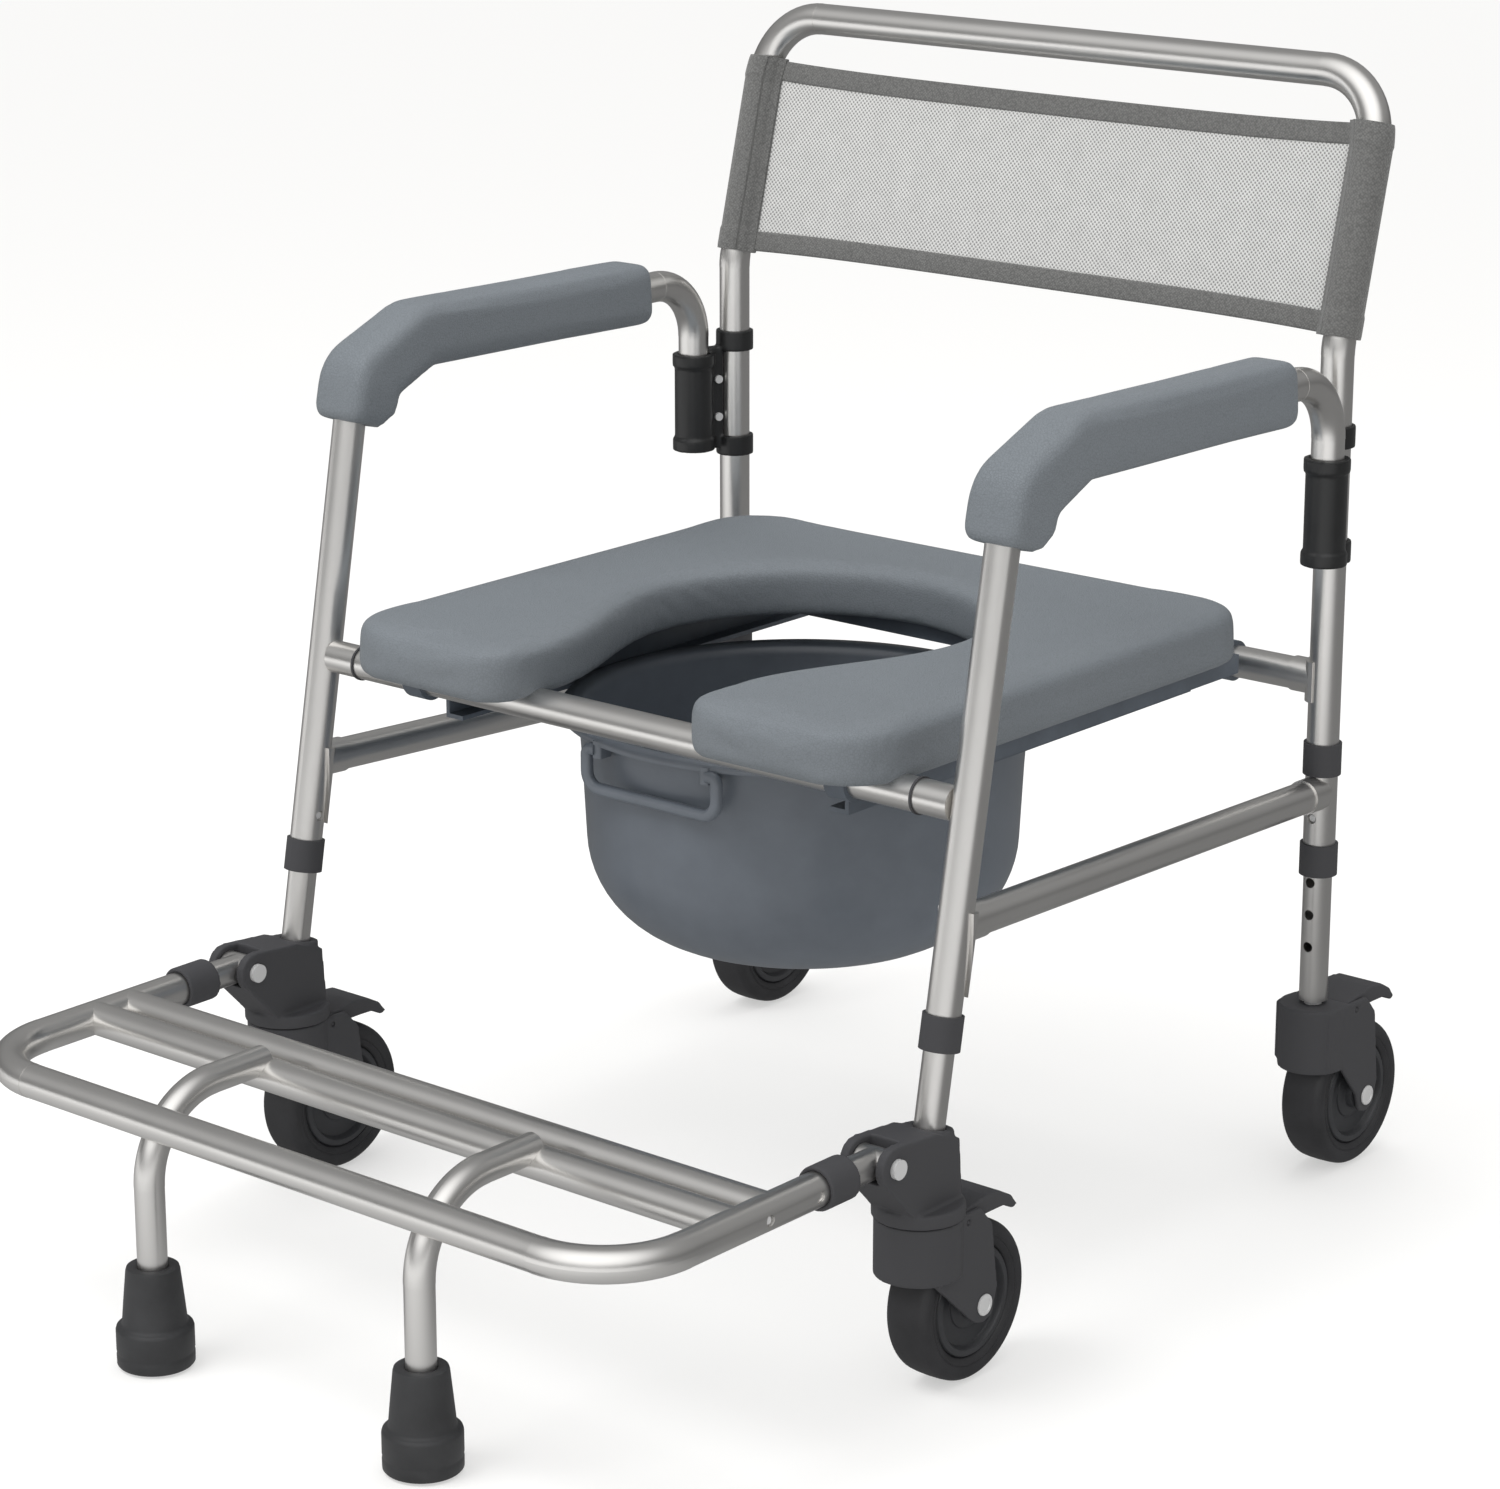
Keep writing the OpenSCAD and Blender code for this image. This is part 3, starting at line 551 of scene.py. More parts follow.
def carried(
    name: str,
    path: np.ndarray,
    section: np.ndarray,
    across: tuple,
    scale: np.ndarray | None = None,
    sharp: float = 40.0,
) -> bpy.types.Object:
    """A section carried along a flat path: path + s x across + t x (direction x across), for section points (s, t).

    Args:
        name: the piece's name.
        path: (n, 3) points in a plane.
        section: (m, 2) outline.
        across: unit normal of the path's plane.
        scale: share of the section's size at each path point.
        sharp: angle over which an edge stays sharp, in degrees.

    Returns:
        The new object, closed at both ends.
    """
    along = np.gradient(path, axis=0)
    along /= np.linalg.norm(along, axis=1)[:, None]
    side = np.array(across, float)
    up = np.cross(along, side)
    size = np.ones(len(path)) if scale is None else scale
    rings = path[:, None] + size[:, None, None] * (
        section[None, :, :1] * side[None, None] + section[None, :, 1:] * up[:, None]
    )
    return tube_surface(name, rings, sharp)


def softened_copy(name: str, nodes: list, voxel: float = 0.0011, smoothing: int = 5) -> bpy.types.Object:
    """A copy of CAD nodes with its edges rounded over and its corners filled, as a moulding has.

    Args:
        name: the piece's name.
        nodes: names of the CAD nodes.
        voxel: size of the even faces that the copy is remade with.
        smoothing: rounds of smoothing.

    Returns:
        The new object.
    """
    work = bmesh.new()
    for node in nodes:
        work.from_mesh(frame["nodes"][node].data)
    bmesh.ops.remove_doubles(work, verts=work.verts, dist=0.000003)
    mesh = bpy.data.meshes.new(name)
    work.to_mesh(mesh)
    work.free()
    obj = bpy.data.objects.new(name, mesh)
    bpy.context.scene.collection.objects.link(obj)
    remesh = obj.modifiers.new("even", "REMESH")
    remesh.mode = "VOXEL"
    remesh.voxel_size = voxel
    smooth = obj.modifiers.new("smooth", "SMOOTH")
    smooth.iterations = smoothing
    smooth.factor = 0.5
    baked(obj)
    obj.data.polygons.foreach_set("use_smooth", np.ones(len(obj.data.polygons), bool))
    return obj


def baked(obj: bpy.types.Object) -> bpy.types.Object:
    """Applies the object's modifiers to its mesh and returns it."""
    bpy.context.view_layer.update()
    evaluated = obj.evaluated_get(bpy.context.evaluated_depsgraph_get())
    mesh = bpy.data.meshes.new_from_object(evaluated)
    obj.modifiers.clear()
    obj.data = mesh
    return obj


def dressed(obj: bpy.types.Object, finish: Finish, body: str, slot: str, *nodes: str) -> bpy.types.Object:
    """Gives a piece its finish and body, hides the CAD nodes it stands for, and reports it.

    Args:
        obj: the piece.
        finish: its finish.
        body: the CAD body it moves with.
        slot: the record's material slot; not used.
        nodes: CAD nodes it replaces.

    Returns:
        The same object.
    """
    obj.data.materials.clear()
    obj.data.materials.append(finish.material())
    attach(obj, body)
    if nodes:
        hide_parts(*nodes)
    LOG.info("%s: %d faces, on %s", obj.name, len(obj.data.polygons), body)
    return obj


def joined(name: str, parts: list) -> bpy.types.Object:
    """One object of several pieces' meshes, which are used up."""
    work = bmesh.new()
    for part in parts:
        work.from_mesh(part.data)
        bpy.data.objects.remove(part)
    mesh = bpy.data.meshes.new(name)
    work.to_mesh(mesh)
    work.free()
    obj = bpy.data.objects.new(name, mesh)
    bpy.context.scene.collection.objects.link(obj)
    mesh.polygons.foreach_set("use_smooth", np.ones(len(mesh.polygons), bool))
    mesh.set_sharp_from_angle(angle=math.radians(40))
    return obj


def puffed(
    obj: bpy.types.Object, voxel: float, pressure: float, cap: float, held_below: float, rounds: int = 3
) -> bpy.types.Object:
    """Swells a closed soft form with a cloth simulation, and applies the result.

    The form is remeshed in even faces and smoothed. Cloth with inner pressure and no
    gravity runs for twenty frames. No point moves more than cap, and points under
    held_below stay.

    Args:
        obj: the closed form.
        voxel: size of the faces.
        pressure: the cloth's inner pressure.
        cap: the most that a point may move.
        held_below: height under which points are held.
        rounds: rounds of smoothing before it swells.

    Returns:
        The same object.
    """
    remesh = obj.modifiers.new("even", "REMESH")
    remesh.mode = "VOXEL"
    remesh.voxel_size = voxel
    smooth = obj.modifiers.new("smooth", "SMOOTH")
    smooth.iterations = rounds
    smooth.factor = 0.5
    baked(obj)
    count = len(obj.data.vertices)
    start = np.zeros(count * 3, np.float32)
    obj.data.vertices.foreach_get("co", start)
    start = start.reshape(-1, 3)
    held = obj.vertex_groups.new(name="held")
    held.add([int(i) for i in np.flatnonzero(start[:, 2] < held_below)], 1.0, "REPLACE")
    cloth = obj.modifiers.new("cloth", "CLOTH")
    settings = cloth.settings
    settings.vertex_group_mass = "held"
    settings.quality = 4
    settings.mass = 0.4
    settings.tension_stiffness = 25
    settings.compression_stiffness = 25
    settings.shear_stiffness = 10
    settings.bending_stiffness = 1.0
    settings.use_pressure = True
    settings.uniform_pressure_force = pressure
    settings.effector_weights.gravity = 0
    cloth.collision_settings.use_self_collision = False
    cloth.point_cache.frame_start = 1
    cloth.point_cache.frame_end = 20
    scene = bpy.context.scene
    for step in range(1, 21):
        scene.frame_set(step)
    evaluated = obj.evaluated_get(bpy.context.evaluated_depsgraph_get())
    end = np.zeros(count * 3, np.float32)
    evaluated.data.vertices.foreach_get("co", end)
    move = end.reshape(-1, 3) - start
    length = np.linalg.norm(move, axis=1)[:, None]
    move *= np.minimum(1, cap / np.maximum(length, 1e-9))
    obj.modifiers.clear()
    obj.vertex_groups.clear()
    scene.frame_set(1)
    obj.data.vertices.foreach_set("co", (start + move).astype(np.float32).ravel())
    level = obj.modifiers.new("fine", "SUBSURF")
    level.levels = level.render_levels = 1
    baked(obj)
    return cleaned(obj, 180.0)


# ---------------------------------------------------------------- assemblies


@dataclass
class BackRest:
    """The mesh panel, its woven border and the sleeves that hold it on the uprights."""

    bottom: float = 0.0072
    top: float = 0.1478
    hem: float = 0.0145
    sleeve_r: float = 0.0134
    tail: float = 0.0175
    cuff: float = 0.045
    bend_from: float = 0.128
    bend_in: float = 0.0022
    panel_half: float = 0.2465
    hem_half: float = 0.248
    sag: float = 0.006
    pull: float = 0.0035

    def place(self, x: np.ndarray, s: np.ndarray, n: np.ndarray) -> np.ndarray:
        """Points of the leaning plane: x across, s up the slope from where the lean starts, n behind it."""
        lean = math.atan(BACK_LEAN)
        y = UPRIGHT_Y + s * math.sin(lean) + n * math.cos(lean)
        z = LEAN_Z + s * math.cos(lean) - n * math.sin(lean)
        return np.stack([x, y, z], -1)

    def hollow(self, x: np.ndarray) -> np.ndarray:
        """How far the stretched cloth lies behind the uprights' plane: sag x (1 - (x / half width) squared)."""
        return self.sag * (1 - (x / REAR_HALF) ** 2)

    def edge(self, x: np.ndarray) -> np.ndarray:
        """How far tension draws the upper and lower edges in: pull x (1 - (x / half width) to the fourth)."""
        return self.pull * (1 - (x / REAR_HALF) ** 4)

    def panel(self) -> bpy.types.Object:
        """The open mesh, a grid over x and height, with a thin wall."""
        x, t = np.meshgrid(np.linspace(-self.panel_half, self.panel_half, 60), np.linspace(0, 1, 20))
        low = self.bottom + self.hem * 0.7 + self.edge(x)
        high = self.top - self.hem * 0.7 - self.edge(x)
        s = low + (high - low) * t
        points = self.place(x, s, self.hollow(x))
        uv = np.stack([x, s], -1).reshape(-1, 2)
        obj = new_object("back_mesh_cloth", points.reshape(-1, 3), grid_faces(20, 60, False).tolist(), uv)
        obj.data.polygons.foreach_set("use_smooth", np.ones(len(obj.data.polygons), bool))
        wall = obj.modifiers.new("wall", "SOLIDIFY")
        wall.thickness = 0.0008
        wall.offset = 0
        baked(obj)
        dressed(obj, MESH_CLOTH, "frame", "mesh", "back_mesh")
        return obj

    def hem_strip(self, upper: bool) -> bpy.types.Object:
        """A folded hem along the upper or lower edge: a flat rounded section carried across the back."""
        x = np.linspace(-self.hem_half, self.hem_half, 70)
        section = rounded_rectangle(self.hem, 0.0032, 0.0015, 4)
        middle = (self.top - self.edge(x) - self.hem / 2) if upper else (self.bottom + self.edge(x) + self.hem / 2)
        s = middle[:, None] + section[None, :, 0]
        n = self.hollow(x)[:, None] + section[None, :, 1]
        return tube_surface("hem", self.place(np.repeat(x[:, None], len(section), 1), s, n), 60.0)

    def sleeve(self, side: Side) -> bpy.types.Object:
        """A sleeve round an upright: a drop-shaped section carried up the slope, with a cuff at each end."""
        ring = arc((0, 0), self.sleeve_r, -125, 125, 30)
        tip = self.tail
        upper = np.array([[-0.0112, 0.0076], [-0.0135, 0.0042], [-tip + 0.0015, 0.0021], [-tip, 0.0012]])
        section = resampled(np.vstack([ring, upper, upper[::-1] * [1, -1]]), 0.0015, True)
        s = np.linspace(self.bottom - 0.0005, self.top + 0.0005, 60)
        from_end = np.minimum(s - s[0], s[-1] - s)
        folded = np.clip((self.hem + 0.002 - from_end) / 0.002, 0, 1)
        swell = 1 + self.cuff * folded * np.clip(0.6 + from_end / 0.004, 0, 1)
        inward = np.clip((s - self.bend_from) / 0.02, 0, None) ** 2 * self.bend_in
        x = side.value * (REAR_HALF - inward[:, None] + section[None, :, 0] * swell[:, None])
        n = section[None, :, 1] * swell[:, None]
        return tube_surface("sleeve", self.place(x, np.repeat(s[:, None], len(section), 1), n), 50.0)

    def build(self) -> None:
        """Makes and dresses the back."""
        self.panel()
        parts = [self.hem_strip(True), self.hem_strip(False), self.sleeve(Side.LEFT), self.sleeve(Side.RIGHT)]
        border = joined("back_border_band", parts)
        dressed(border, BAND, "frame", "border", "back_border")


@dataclass
class ArmRest:
    """A foam armrest pad, bent over the front of the armrest tube."""

    side: Side
    width: float = 0.0455
    thickness: float = 0.0435
    corner: float = 0.0095
    cut_back: float = -0.3690
    cut_low: float = 0.5215
    cut_high: float = 0.5475
    cut_slope: float = 1.46
    narrowing: float = 0.14

    def cut_under(self, pad: bpy.types.Object) -> None:
        """Slopes the underside at the front, and narrows the top.

        Under the height of the bend no point lies further back than
        back + slope x (z - low). Every point's distance across from the middle is
        multiplied by 1 - narrowing x (share of the way up the pad's thickness).

        Args:
            pad: the pad, before it is remeshed.
        """
        count = len(pad.data.vertices)
        points = np.zeros(count * 3, np.float32)
        pad.data.vertices.foreach_get("co", points)
        points = points.reshape(-1, 3)
        middle = self.side.value * FRONT_HALF
        line = UPRIGHT_Y + self.cut_back + self.cut_slope * (points[:, 2] - self.cut_low)
        under = points[:, 2] < self.cut_high
        points[under, 1] = np.minimum(points[under, 1], line[under])
        share = np.clip((points[:, 2] - self.cut_high) / self.thickness, 0, 1)
        points[:, 0] = middle + (points[:, 0] - middle) * (1 - self.narrowing * share)
        pad.data.vertices.foreach_set("co", points.ravel())
        pad.data.update()

    def build(self) -> None:
        """Makes and dresses the pad."""
        x = self.side.value * FRONT_HALF
        y = UPRIGHT_Y
        corners = [(x, y - 0.3800, 0.5215), (x, y - 0.3730, 0.5520), (x, y - 0.3230, 0.5730), (x, y - 0.0950, 0.5705)]
        path = rounded_line(corners, [0.010, 0.022], 0.003)
        ends = np.concatenate([[0.84, 0.94, 0.985], np.ones(len(path) - 6), [0.985, 0.94, 0.84]])
        section = rounded_rectangle(self.width, self.thickness, self.corner, 8)
        pad = carried(f"arm_pad_{self.side.word}_foam", path, section, (1, 0, 0), ends)
        self.cut_under(pad)
        puffed(pad, 0.0028, 4.0, 0.0006, 0.0)
        dressed(pad, PAD_SKIN, "frame", "pad", f"arm_pad_{self.side.word}")


@dataclass
class Seat:
    """The horseshoe seat pad."""

    half: float = 0.2252
    front: float = 0.4562
    rear: float = 0.0258
    corner: float = 0.046
    throat: float = 0.0755
    throat_corner: float = 0.028
    hole_r: float = 0.1208
    hole_back: float = 0.237
    throat_back: float = 0.400
    bottom: float = 0.3718
    top: float = 0.4072
    round_over: float = 0.0095

    def outline(self) -> np.ndarray:
        """The horseshoe, seen from above.

        The outer corners are arcs. The opening is a circle whose sides pass into the
        throat on a smoothstep of depth, and an arc rounds each tip.

        Returns:
            (n, 2) points, anticlockwise, evenly spaced.
        """
        y0, y1, hole_y = UPRIGHT_Y - self.front, UPRIGHT_Y - self.rear, UPRIGHT_Y - self.hole_back
        r, rc = self.corner, self.throat_corner
        y = np.linspace(y0 + rc, hole_y, 24)[1:]
        t = np.clip((y - (UPRIGHT_Y - self.throat_back)) / (self.throat_back - self.hole_back), 0, 1)
        side = np.stack([self.throat + (self.hole_r - self.throat) * t * t * (3 - 2 * t), y], 1)
        right = np.vstack(
            [
                [[0, y1]],
                arc((self.half - r, y1 - r), r, 90, 0, 14),
                arc((self.half - r, y0 + r), r, 0, -90, 14),
                arc((self.throat + rc, y0 + rc), rc, 270, 180, 10),
                side,
                arc((0, hole_y), self.hole_r, 0, 90, 40)[1:],
            ]
        )
        left = right[1:-1][::-1] * [-1, 1]
        return resampled(np.vstack([right, left])[::-1], 0.004, True)

    def build(self) -> None:
        """Makes and dresses the pad."""
        line = self.outline()
        along = np.roll(line, -1, 0) - np.roll(line, 1, 0)
        along /= np.linalg.norm(along, axis=1)[:, None]
        inward = np.stack([-along[:, 1], along[:, 0]], 1)
        r, low = self.round_over, 0.0035
        a = np.radians(np.linspace(0, 90, 8))
        inset = np.concatenate([low * (1 - np.sin(a[::2])), [0.0], r * (1 - np.cos(a))])
        under = self.bottom + low * (1 - np.cos(a[::2]))
        height = np.concatenate([under, [self.bottom + 0.012], self.top - r + r * np.sin(a)])
        flat = line[None] + inset[:, None, None] * inward[None]
        rings = np.concatenate([flat, np.repeat(height[:, None, None], len(line), 1)], 2)
        pad = tube_surface("seat_pad_foam", rings, 180.0)
        puffed(pad, 0.004, 4.0, 0.0012, self.bottom + 0.006)
        dressed(pad, PAD_SKIN, "seat", "pad", "seat_pad")


@dataclass
class Bucket:
    """The bucket and the handle that hangs under its rim."""

    centre_back: float = 0.236
    rim_z: float = 0.3413
    depth: float = 160.0
    round: float = 72.0
    wall: float = 2.6
    lug_half: float = 0.046

    def shell(self) -> bpy.types.Object:
        """A turned wall: outer side up from the middle, over the rolled rim, and down the inner side."""
        r, wall = self.round, self.wall
        middle = (74, r - self.depth)
        outer = [(0, -self.depth)] + arc(middle, r, -90, -2, 16).tolist() + [(148.5, -40), (151, -4.5)]
        rim = [(155, -3.2), (160.6, -3.2), (161.4, -5.0), (162.8, -5.0), (163, -3.4)]
        rim += [(162.8, -1.0), (161.6, 0), (157, 0.0), (151.6, -0.3), (148.8, -2.2)]
        inner = [(148.0, -8), (145.9, -40)] + arc(middle, r - wall, -2, -90, 16).tolist()
        inner += [(0, wall - self.depth)]
        centre = (0, UPRIGHT_Y - self.centre_back, self.rim_z + 0.003)
        return turned("bucket_shell", outer + rim + inner, centre, count=128, sharp=50.0)

    def lugs(self) -> bpy.types.Object:
        """The two lugs under the rim that carry the handle, as the CAD has them, seen from outside the shell."""
        y = UPRIGHT_Y - self.centre_back - 0.151
        parts = []
        for x in (-self.lug_half, self.lug_half):
            path = resampled(np.array([[x, y, self.rim_z + 0.001], [x, y, self.rim_z - 0.0105]]), 0.002, False)
            parts.append(carried("lug", path, rounded_rectangle(0.012, 0.0078, 0.002, 4), (0, 1, 0), None, 50.0))
        return joined("bucket_lugs", parts)

    def handle(self) -> bpy.types.Object:
        """A flat bail: a rounded rectangle carried round a U that hangs from the lugs."""
        y, z = UPRIGHT_Y - self.centre_back - 0.155, self.rim_z - 0.007
        half, pivot, top, low = 0.0555, 0.0475, z + 0.002, z - 0.0245
        left = [(-pivot, y, top), (-half, y, top), (-half, y, low)]
        right = [(half, y, low), (half, y, top), (pivot, y, top)]
        path = rounded_line(left + right, [0.004, 0.011, 0.011, 0.004], 0.002)
        return carried("bucket_bail", path, rounded_rectangle(0.0068, 0.0082, 0.0028, 5), (0, 1, 0), None, 60.0)

    def build(self) -> None:
        """Makes and dresses the bucket and its handle."""
        dressed(self.shell(), BUCKET, "bucket", "bucket", "bucket")
        dressed(self.lugs(), BUCKET, "bucket", "bucket")
        dressed(self.handle(), BUCKET, "bucket_handle", "bucket", "bucket_handle")


@dataclass
class Mouldings:
    """Black mouldings whose shape is the CAD's, with rounded edges."""

    frame_nodes: tuple = ("arm_sleeve_left", "arm_sleeve_right")
    carriage_nodes: tuple = ("knuckle_left", "knuckle_right")

    def build(self) -> None:
        """Makes and dresses each moulding."""
        for node in self.frame_nodes:
            dressed(softened_copy(node + "_moulding", [node]), GRIP, "frame", "black_plastic", node)
        for node in self.carriage_nodes:
            dressed(softened_copy(node + "_moulding", [node]), BLACK, "front_carriage", "black_plastic", node)


@dataclass
class Caster:
    """A braked caster: fork and pedal mouldings, tyre, hub and axle caps."""

    end: End
    side: Side
    trail: float = 0.038
    wheel_r: float = 0.052
    cap_from: float = 22.4

    @property
    def word(self) -> str:
        """Prefix of the caster's names."""
        return f"{self.end.value}_{self.side.word}"

    def axle_point(self) -> tuple:
        """The middle of the axle."""
        if self.end is End.REAR:
            return (self.side.value * REAR_HALF, UPRIGHT_Y + self.trail, self.wheel_r)
        return (self.side.value * FRONT_HALF, BAR_Y + LEG_LEAN * (0.118 - BAR_Z) + self.trail, self.wheel_r)

    def tyre(self) -> bpy.types.Object:
        """The tyre: a tread with rounded shoulders and a shallow side groove, turned about the axle."""
        half = [(36.2, 0), (36.2, 12.6), (37.4, 14.4), (40.4, 15.8), (41.6, 15.2), (42.8, 16.0), (45.4, 16.0)]
        half += arc((44.6, 9.6), 6.9, 68, 10, 8).tolist() + [(51.8, 7.0), (52, 0)]
        left = [(r, -h) for r, h in half[::-1]][1:]
        return turned(f"{self.word}_tyre_ring", half + left, self.axle_point(), Axis.X, 96, 50.0)

    def hub(self) -> bpy.types.Object:
        """The hub: a dished disc with a raised rim, ring steps and a boss, turned about the axle."""
        boss = [(4.06, 17.4), (9.5, 17.4), (10.6, 16.8), (11, 15.5), (11.4, 12.4), (12.4, 11.8)]
        step = [(17, 11.4), (18, 10.8), (18.4, 9.8), (19.2, 9.4), (27, 9.6), (29.2, 10.2), (30.0, 11.4)]
        edge = [(30.6, 13.6), (31.4, 14.6), (33.2, 14.8), (35.2, 14.2), (36, 13.0), (36.1, 0)]
        half = boss + step + edge
        left = [(r, -h) for r, h in half[::-1]][1:]
        return turned(f"{self.word}_hub_disc", half + left + [half[0]], self.axle_point(), Axis.X, 72, 30.0)

    def axle_caps(self) -> bpy.types.Object:
        """The axle with a domed head at each end, turned about X."""
        x, y, z = self.axle_point()
        dome = [(6.6, 0), (7.0, 0.5), (6.8, 1.3), (5.6, 1.9), (4.4, 1.9), (4.1, 1.5), (2.0, 1.5), (0, 1.4)]
        half = [(4.0, 0), (4.0, self.cap_from)] + [(r, self.cap_from + h) for r, h in dome]
        left = [(r, -h) for r, h in half[::-1]]
        return turned(f"{self.word}_axle_pin", left[:-1] + half[1:], (x, y, z), Axis.X, 32, 30.0)

    def build(self) -> None:
        """Makes and dresses the caster's pieces."""
        swivel, wheel, brake = (f"{self.word}_{part}" for part in ("swivel", "wheel", "brake"))
        for part, body in (("fork", swivel), ("pedal", brake)):
            node = f"{self.word}_{part}"
            dressed(softened_copy(node + "_moulding", [node]), BLACK, body, "black_plastic", node)
        dressed(self.tyre(), TYRE, wheel, "tyre", f"{self.word}_tyre")
        dressed(self.hub(), HUB, wheel, "hub", f"{self.word}_hub")
        dressed(self.axle_caps(), ZINC, swivel, "steel", f"{self.word}_axle")


@dataclass
class FootRest:
    """The footrest's rubber feet and collars."""

    foot_half: float = 0.116
    reach: float = 0.730

    def foot(self, side: Side) -> bpy.types.Object:
        """A rubber foot: a ribbed wide base under a tapered cuff, turned about the leg."""
        sole = [(0, 0), (20.5, 0), (21.5, 1.2), (23.6, 1.2), (24.4, 2.2), (24.5, 8), (24.1, 9), (24.1, 10.4)]
        band = [(24.5, 11.4), (24.5, 24.5), (24.0, 26.2), (22.6, 27.2), (21.2, 27.8), (20.4, 29.2)]
        cuff = [(19.2, 42), (17.0, 63.5), (16.4, 65.4), (15.4, 66), (10.6, 66), (9.8, 65.4)]
        bore = [(9.65, 63), (9.65, 15), (0, 15)]
        foot_of_leg = (side.value * self.foot_half, UPRIGHT_Y - self.reach, 0)
        return turned("foot", sole + band + cuff + bore, foot_of_leg, count=56, sharp=32.0)

    def build(self) -> None:
        """Makes and dresses the pieces."""
        feet = joined("footrest_rubber_feet", [self.foot(side) for side in Side])
        dressed(feet, RUBBER, "footrest", "rubber", "rubber_feet")
        collars = softened_copy("footrest_collar_mouldings", ["footrest_collars"], 0.0009, 3)
        dressed(collars, BLACK, "footrest", "black_plastic", "footrest_collars")


@dataclass
class Studio:
    """Floor, lights and camera. None of it is part of the chair."""

    azimuth: float = 40.0493
    elevation: float = 16.3026
    distance: float = 2.9388
    aim_across: float = -0.059
    aim_height: float = 0.3058
    focal_share: float = 2.88727
    sensor: float = 36.0
    fit_upright: float = 0.2

    def directions(self) -> tuple:
        """Forward, right and up of the camera."""
        a, e = math.radians(self.azimuth), math.radians(self.elevation)
        forward = Vector((-math.sin(a) * math.cos(e), math.cos(a) * math.cos(e), -math.sin(e)))
        right = Vector((math.cos(a), math.sin(a), 0))
        return forward, right, right.cross(forward)

    def camera(self) -> None:
        """Puts the camera at its distance from the point it looks at, with no shift."""
        forward, right, up = self.directions()
        aim = right * self.aim_across + Vector((0, UPRIGHT_Y - self.fit_upright, self.aim_height))
        camera = bpy.data.objects.new("camera", bpy.data.cameras.new("camera"))
        bpy.context.scene.collection.objects.link(camera)
        turn = Matrix((right, up, -forward)).transposed()
        camera.matrix_world = Matrix.Translation(aim - forward * self.distance) @ turn.to_4x4()
        camera.data.sensor_width = self.sensor
        camera.data.lens = self.focal_share * self.sensor
        camera.data.clip_end = 100.0
        bpy.context.scene.camera = camera

    def level_forward(self) -> Vector:
        """The camera's direction, laid level."""
        forward = self.directions()[0]
        return Vector((forward.x, forward.y, 0)).normalized()

    def glow_direction(self) -> Vector:
        """The level direction, from the chair, of the part of the floor that metal sees brightest."""
        return (-self.level_forward() - self.directions()[1] * 0.8).normalized()

    def add(self, tree: bpy.types.NodeTree, kind: str, values: dict | None = None, **settings) -> bpy.types.Node:
        """Adds a node to a stage's node tree.

        Args:
            tree: the floor's or the world's node tree.
            kind: the node's type.
            values: what to put in its sockets, by socket name or number.
            settings: the node's own properties.

        Returns:
            The new node.
        """
        node = tree.nodes.new(kind)
        for key, value in (values or {}).items():
            node.inputs[key].default_value = value
        for key, value in settings.items():
            setattr(node, key, value)
        return node

    def floor(self) -> None:
        """A wide pale floor. Metal sees it darker, with one brighter side, so that tubes look round."""
        size, drop = 20.0, -0.0004
        corners = np.array([[-size, -size, drop], [size, -size, drop], [size, size, drop], [-size, size, drop]])
        floor = new_object("floor", corners, [[0, 1, 2, 3]])
        material = bpy.data.materials.new("floor_paint")
        material.use_nodes = True
        tree = material.node_tree
        tree.nodes.clear()
        diffuse = self.add(tree, "ShaderNodeBsdfDiffuse", {"Color": (0.9, 0.895, 0.885, 1)})
        glow = self.add(tree, "ShaderNodeEmission", {"Color": (1.0, 0.998, 0.99, 1)})
        lit = self.add(tree, "ShaderNodeMixShader", {"Fac": 0.5})
        path = self.add(tree, "ShaderNodeLightPath")
        place = self.add(tree, "ShaderNodeTexCoord")
        dot = self.add(tree, "ShaderNodeVectorMath", {1: self.glow_direction()}, operation="DOT_PRODUCT")
        spread = {"From Min": 0.1, "From Max": 1.1, "To Min": 0.2, "To Max": 1.15}
        ramp = self.add(tree, "ShaderNodeMapRange", spread)
        seen = self.add(tree, "ShaderNodeEmission")
        both = self.add(tree, "ShaderNodeMixShader")
        out = self.add(tree, "ShaderNodeOutputMaterial")
        for source, target in (
            (diffuse.outputs[0], lit.inputs[1]),
            (glow.outputs[0], lit.inputs[2]),
            (place.outputs["Object"], dot.inputs[0]),
            (dot.outputs["Value"], ramp.inputs["Value"]),
            (ramp.outputs["Result"], seen.inputs["Strength"]),
            (path.outputs["Is Glossy Ray"], both.inputs["Fac"]),
            (lit.outputs[0], both.inputs[1]),
            (seen.outputs[0], both.inputs[2]),
            (both.outputs[0], out.inputs["Surface"]),
        ):
            tree.links.new(source, target)
        floor.data.materials.append(material)

    def lamp(self, name: str, across: float, back: float, height: float, size: float, power: float) -> None:
        """An area light aimed at the seat.

        Args:
            name: the light's name.
            across: distance to the image's right.
            back: distance away from the camera.
            height: height over the floor.
            size: side of the square light.
            power: its power in watts.
        """
        aim = Vector((0, UPRIGHT_Y - 0.35, 0.35))
        place = aim + self.directions()[1] * across + self.level_forward() * back
        place.z = height
        data = bpy.data.lights.new(name, "AREA")
        data.shape = "SQUARE"
        data.size = size
        data.energy = power
        lamp = bpy.data.objects.new(name, data)
        lamp.location = place
        lamp.rotation_euler = (aim - place).to_track_quat("-Z", "Y").to_euler()
        bpy.context.scene.collection.objects.link(lamp)
        lamp.visible_glossy = False

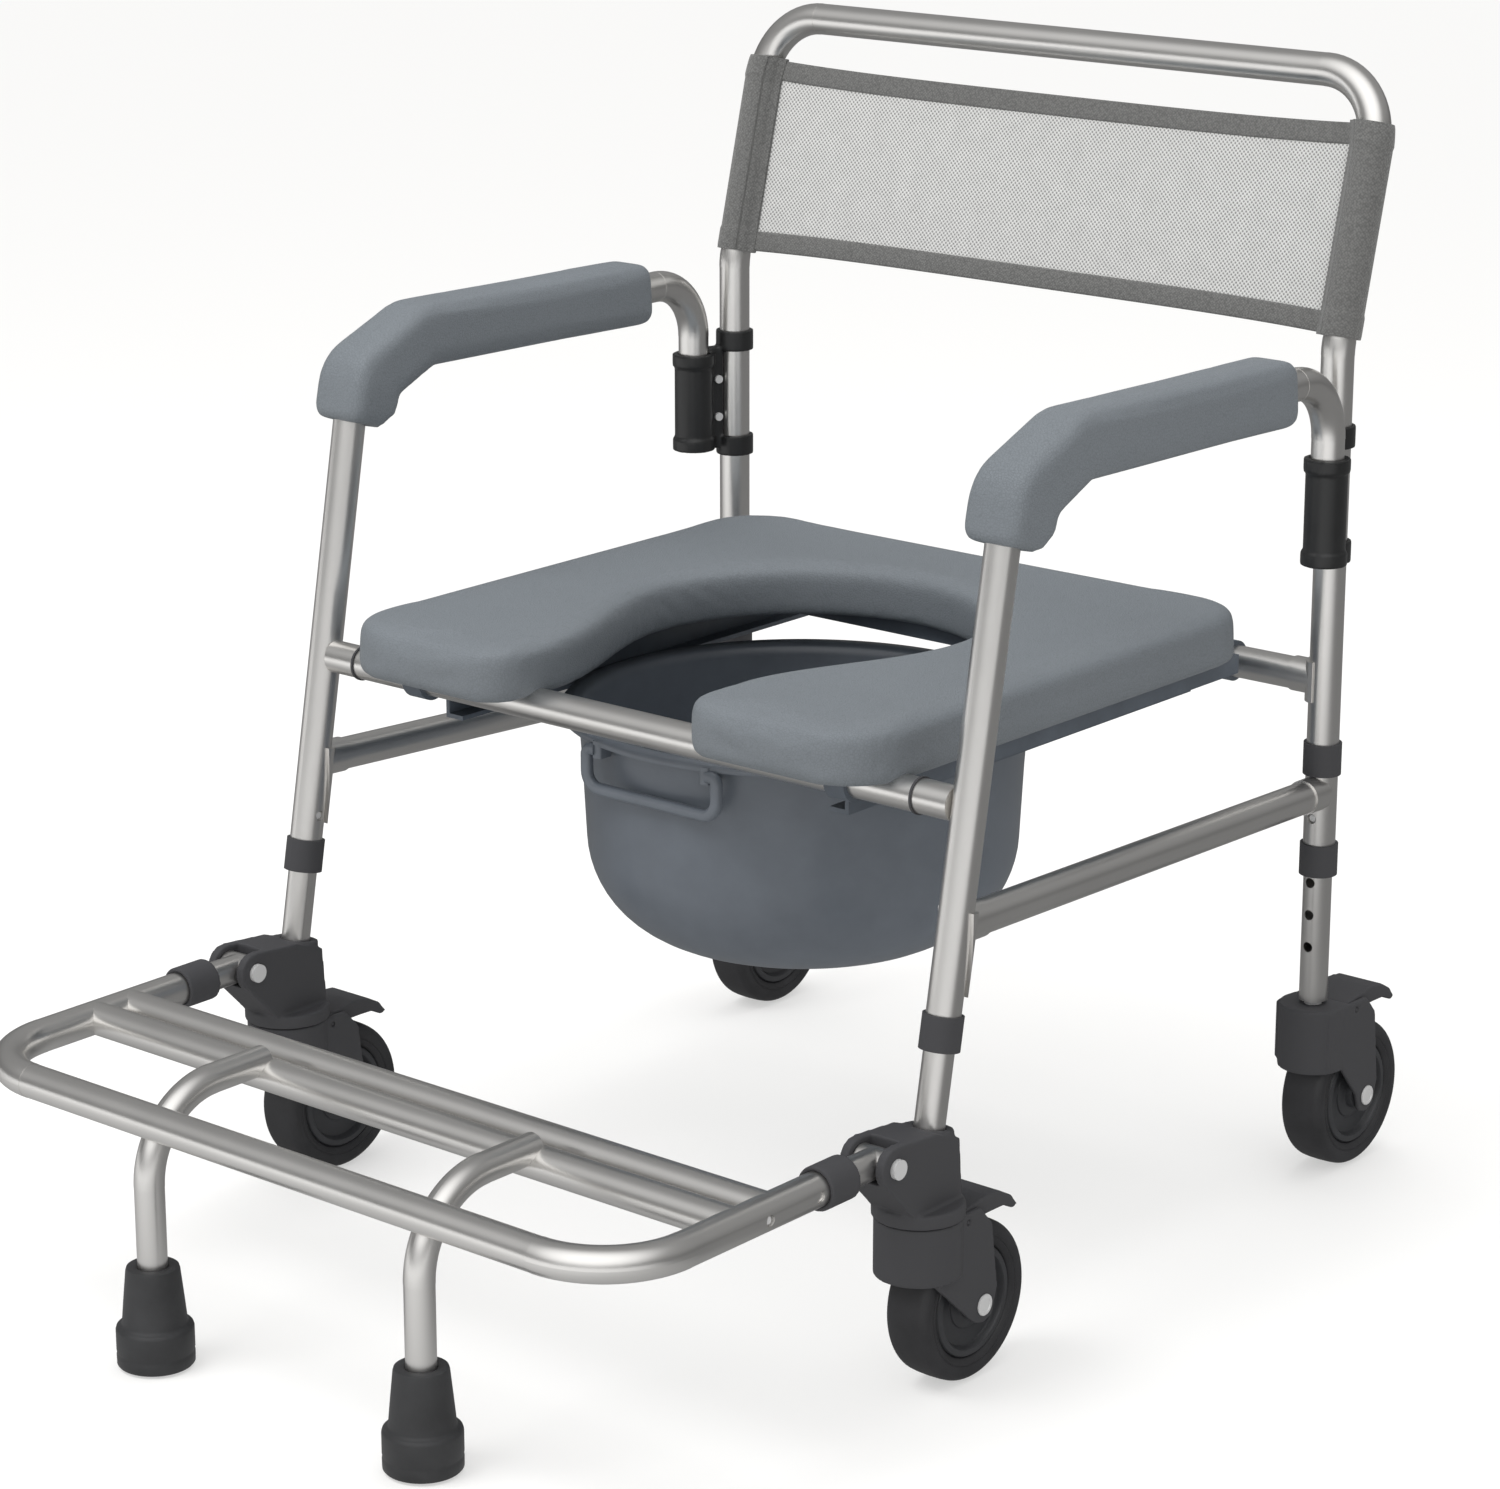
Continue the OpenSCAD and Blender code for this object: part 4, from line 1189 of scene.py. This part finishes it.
    def sky(self) -> None:
        """White background; metal sees a soft panel high on the camera's side, and a dark horizon."""
        world = bpy.data.worlds.new("studio")
        bpy.context.scene.world = world
        world.use_nodes = True
        tree = world.node_tree
        plain = tree.nodes["Background"]
        plain.inputs["Color"].default_value = (1.0, 0.998, 0.995, 1)
        plain.inputs["Strength"].default_value = 1.0
        across = self.directions()[1]
        panel = (-self.level_forward() * 0.75 - across * 0.25 + Vector((0, 0, 0.95))).normalized()
        place = self.add(tree, "ShaderNodeTexCoord")
        facing = self.add(tree, "ShaderNodeVectorMath", {1: panel}, operation="DOT_PRODUCT")
        split = self.add(tree, "ShaderNodeSeparateXYZ")
        spread = {"From Min": 0.45, "From Max": 1.0, "To Min": 0.34, "To Max": 1.8}
        glow = self.add(tree, "ShaderNodeMapRange", spread, interpolation_type="SMOOTHSTEP")
        rise = {"From Min": 0.0, "From Max": 0.4, "To Min": 0.4, "To Max": 1.0}
        horizon = self.add(tree, "ShaderNodeMapRange", rise)
        product = self.add(tree, "ShaderNodeMath", operation="MULTIPLY")
        mirrored = self.add(tree, "ShaderNodeBackground")
        path = self.add(tree, "ShaderNodeLightPath")
        mix = self.add(tree, "ShaderNodeMixShader")
        for source, target in (
            (place.outputs["Generated"], facing.inputs[0]),
            (place.outputs["Generated"], split.inputs["Vector"]),
            (facing.outputs["Value"], glow.inputs["Value"]),
            (split.outputs["Z"], horizon.inputs["Value"]),
            (glow.outputs["Result"], product.inputs[0]),
            (horizon.outputs["Result"], product.inputs[1]),
            (product.outputs["Value"], mirrored.inputs["Strength"]),
            (path.outputs["Is Glossy Ray"], mix.inputs["Fac"]),
            (plain.outputs[0], mix.inputs[1]),
            (mirrored.outputs[0], mix.inputs[2]),
            (mix.outputs[0], tree.nodes["World Output"].inputs["Surface"]),
        ):
            tree.links.new(source, target)

    def build(self) -> None:
        """Sets up the studio."""
        self.camera()
        self.floor()
        self.sky()
        self.lamp("key", -1.3, -0.7, 2.3, 1.2, 30.0)
        self.lamp("top", 0.5, 0.6, 2.6, 1.6, 19.0)
        bpy.context.scene.view_settings.view_transform = "Standard"
        bpy.context.scene.view_settings.look = "None"


@dataclass
class FrameFinishes:
    """Finishes of the CAD nodes that stay as they are."""

    by_slot: dict = field(
        default_factory=lambda: {
            "tube": ALUMINIUM,
            "steel": ZINC,
            "black_plastic": BLACK,
            "rubber": RUBBER,
            "tyre": TYRE,
            "hub": HUB,
            "pad": PAD_SKIN,
            "board": BOARD,
            "bucket": BUCKET,
            "border": BAND,
            "mesh": MESH_CLOTH,
            "carrier": CARRIER,
        }
    )

    def build(self) -> None:
        """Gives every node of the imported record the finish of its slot."""
        for row in frame["record"]["subparts"]:
            node = frame["nodes"][row["node"]]
            finish = self.by_slot[row["material_slot"]]
            node.data.materials.clear()
            node.data.materials.append(finish.material())
            LOG.info("%s: %s", row["node"], finish.name)


def main() -> None:
    """Builds the chair's pieces in order, then the studio."""
    logging.basicConfig(level=logging.INFO, format="%(name)s %(message)s")
    FrameFinishes().build()
    BackRest().build()
    for side in Side:
        ArmRest(side).build()
    Seat().build()
    Bucket().build()
    Mouldings().build()
    for end in End:
        for side in Side:
            Caster(end, side).build()
    FootRest().build()
    Studio().build()


if __name__ == "__main__":
    main()
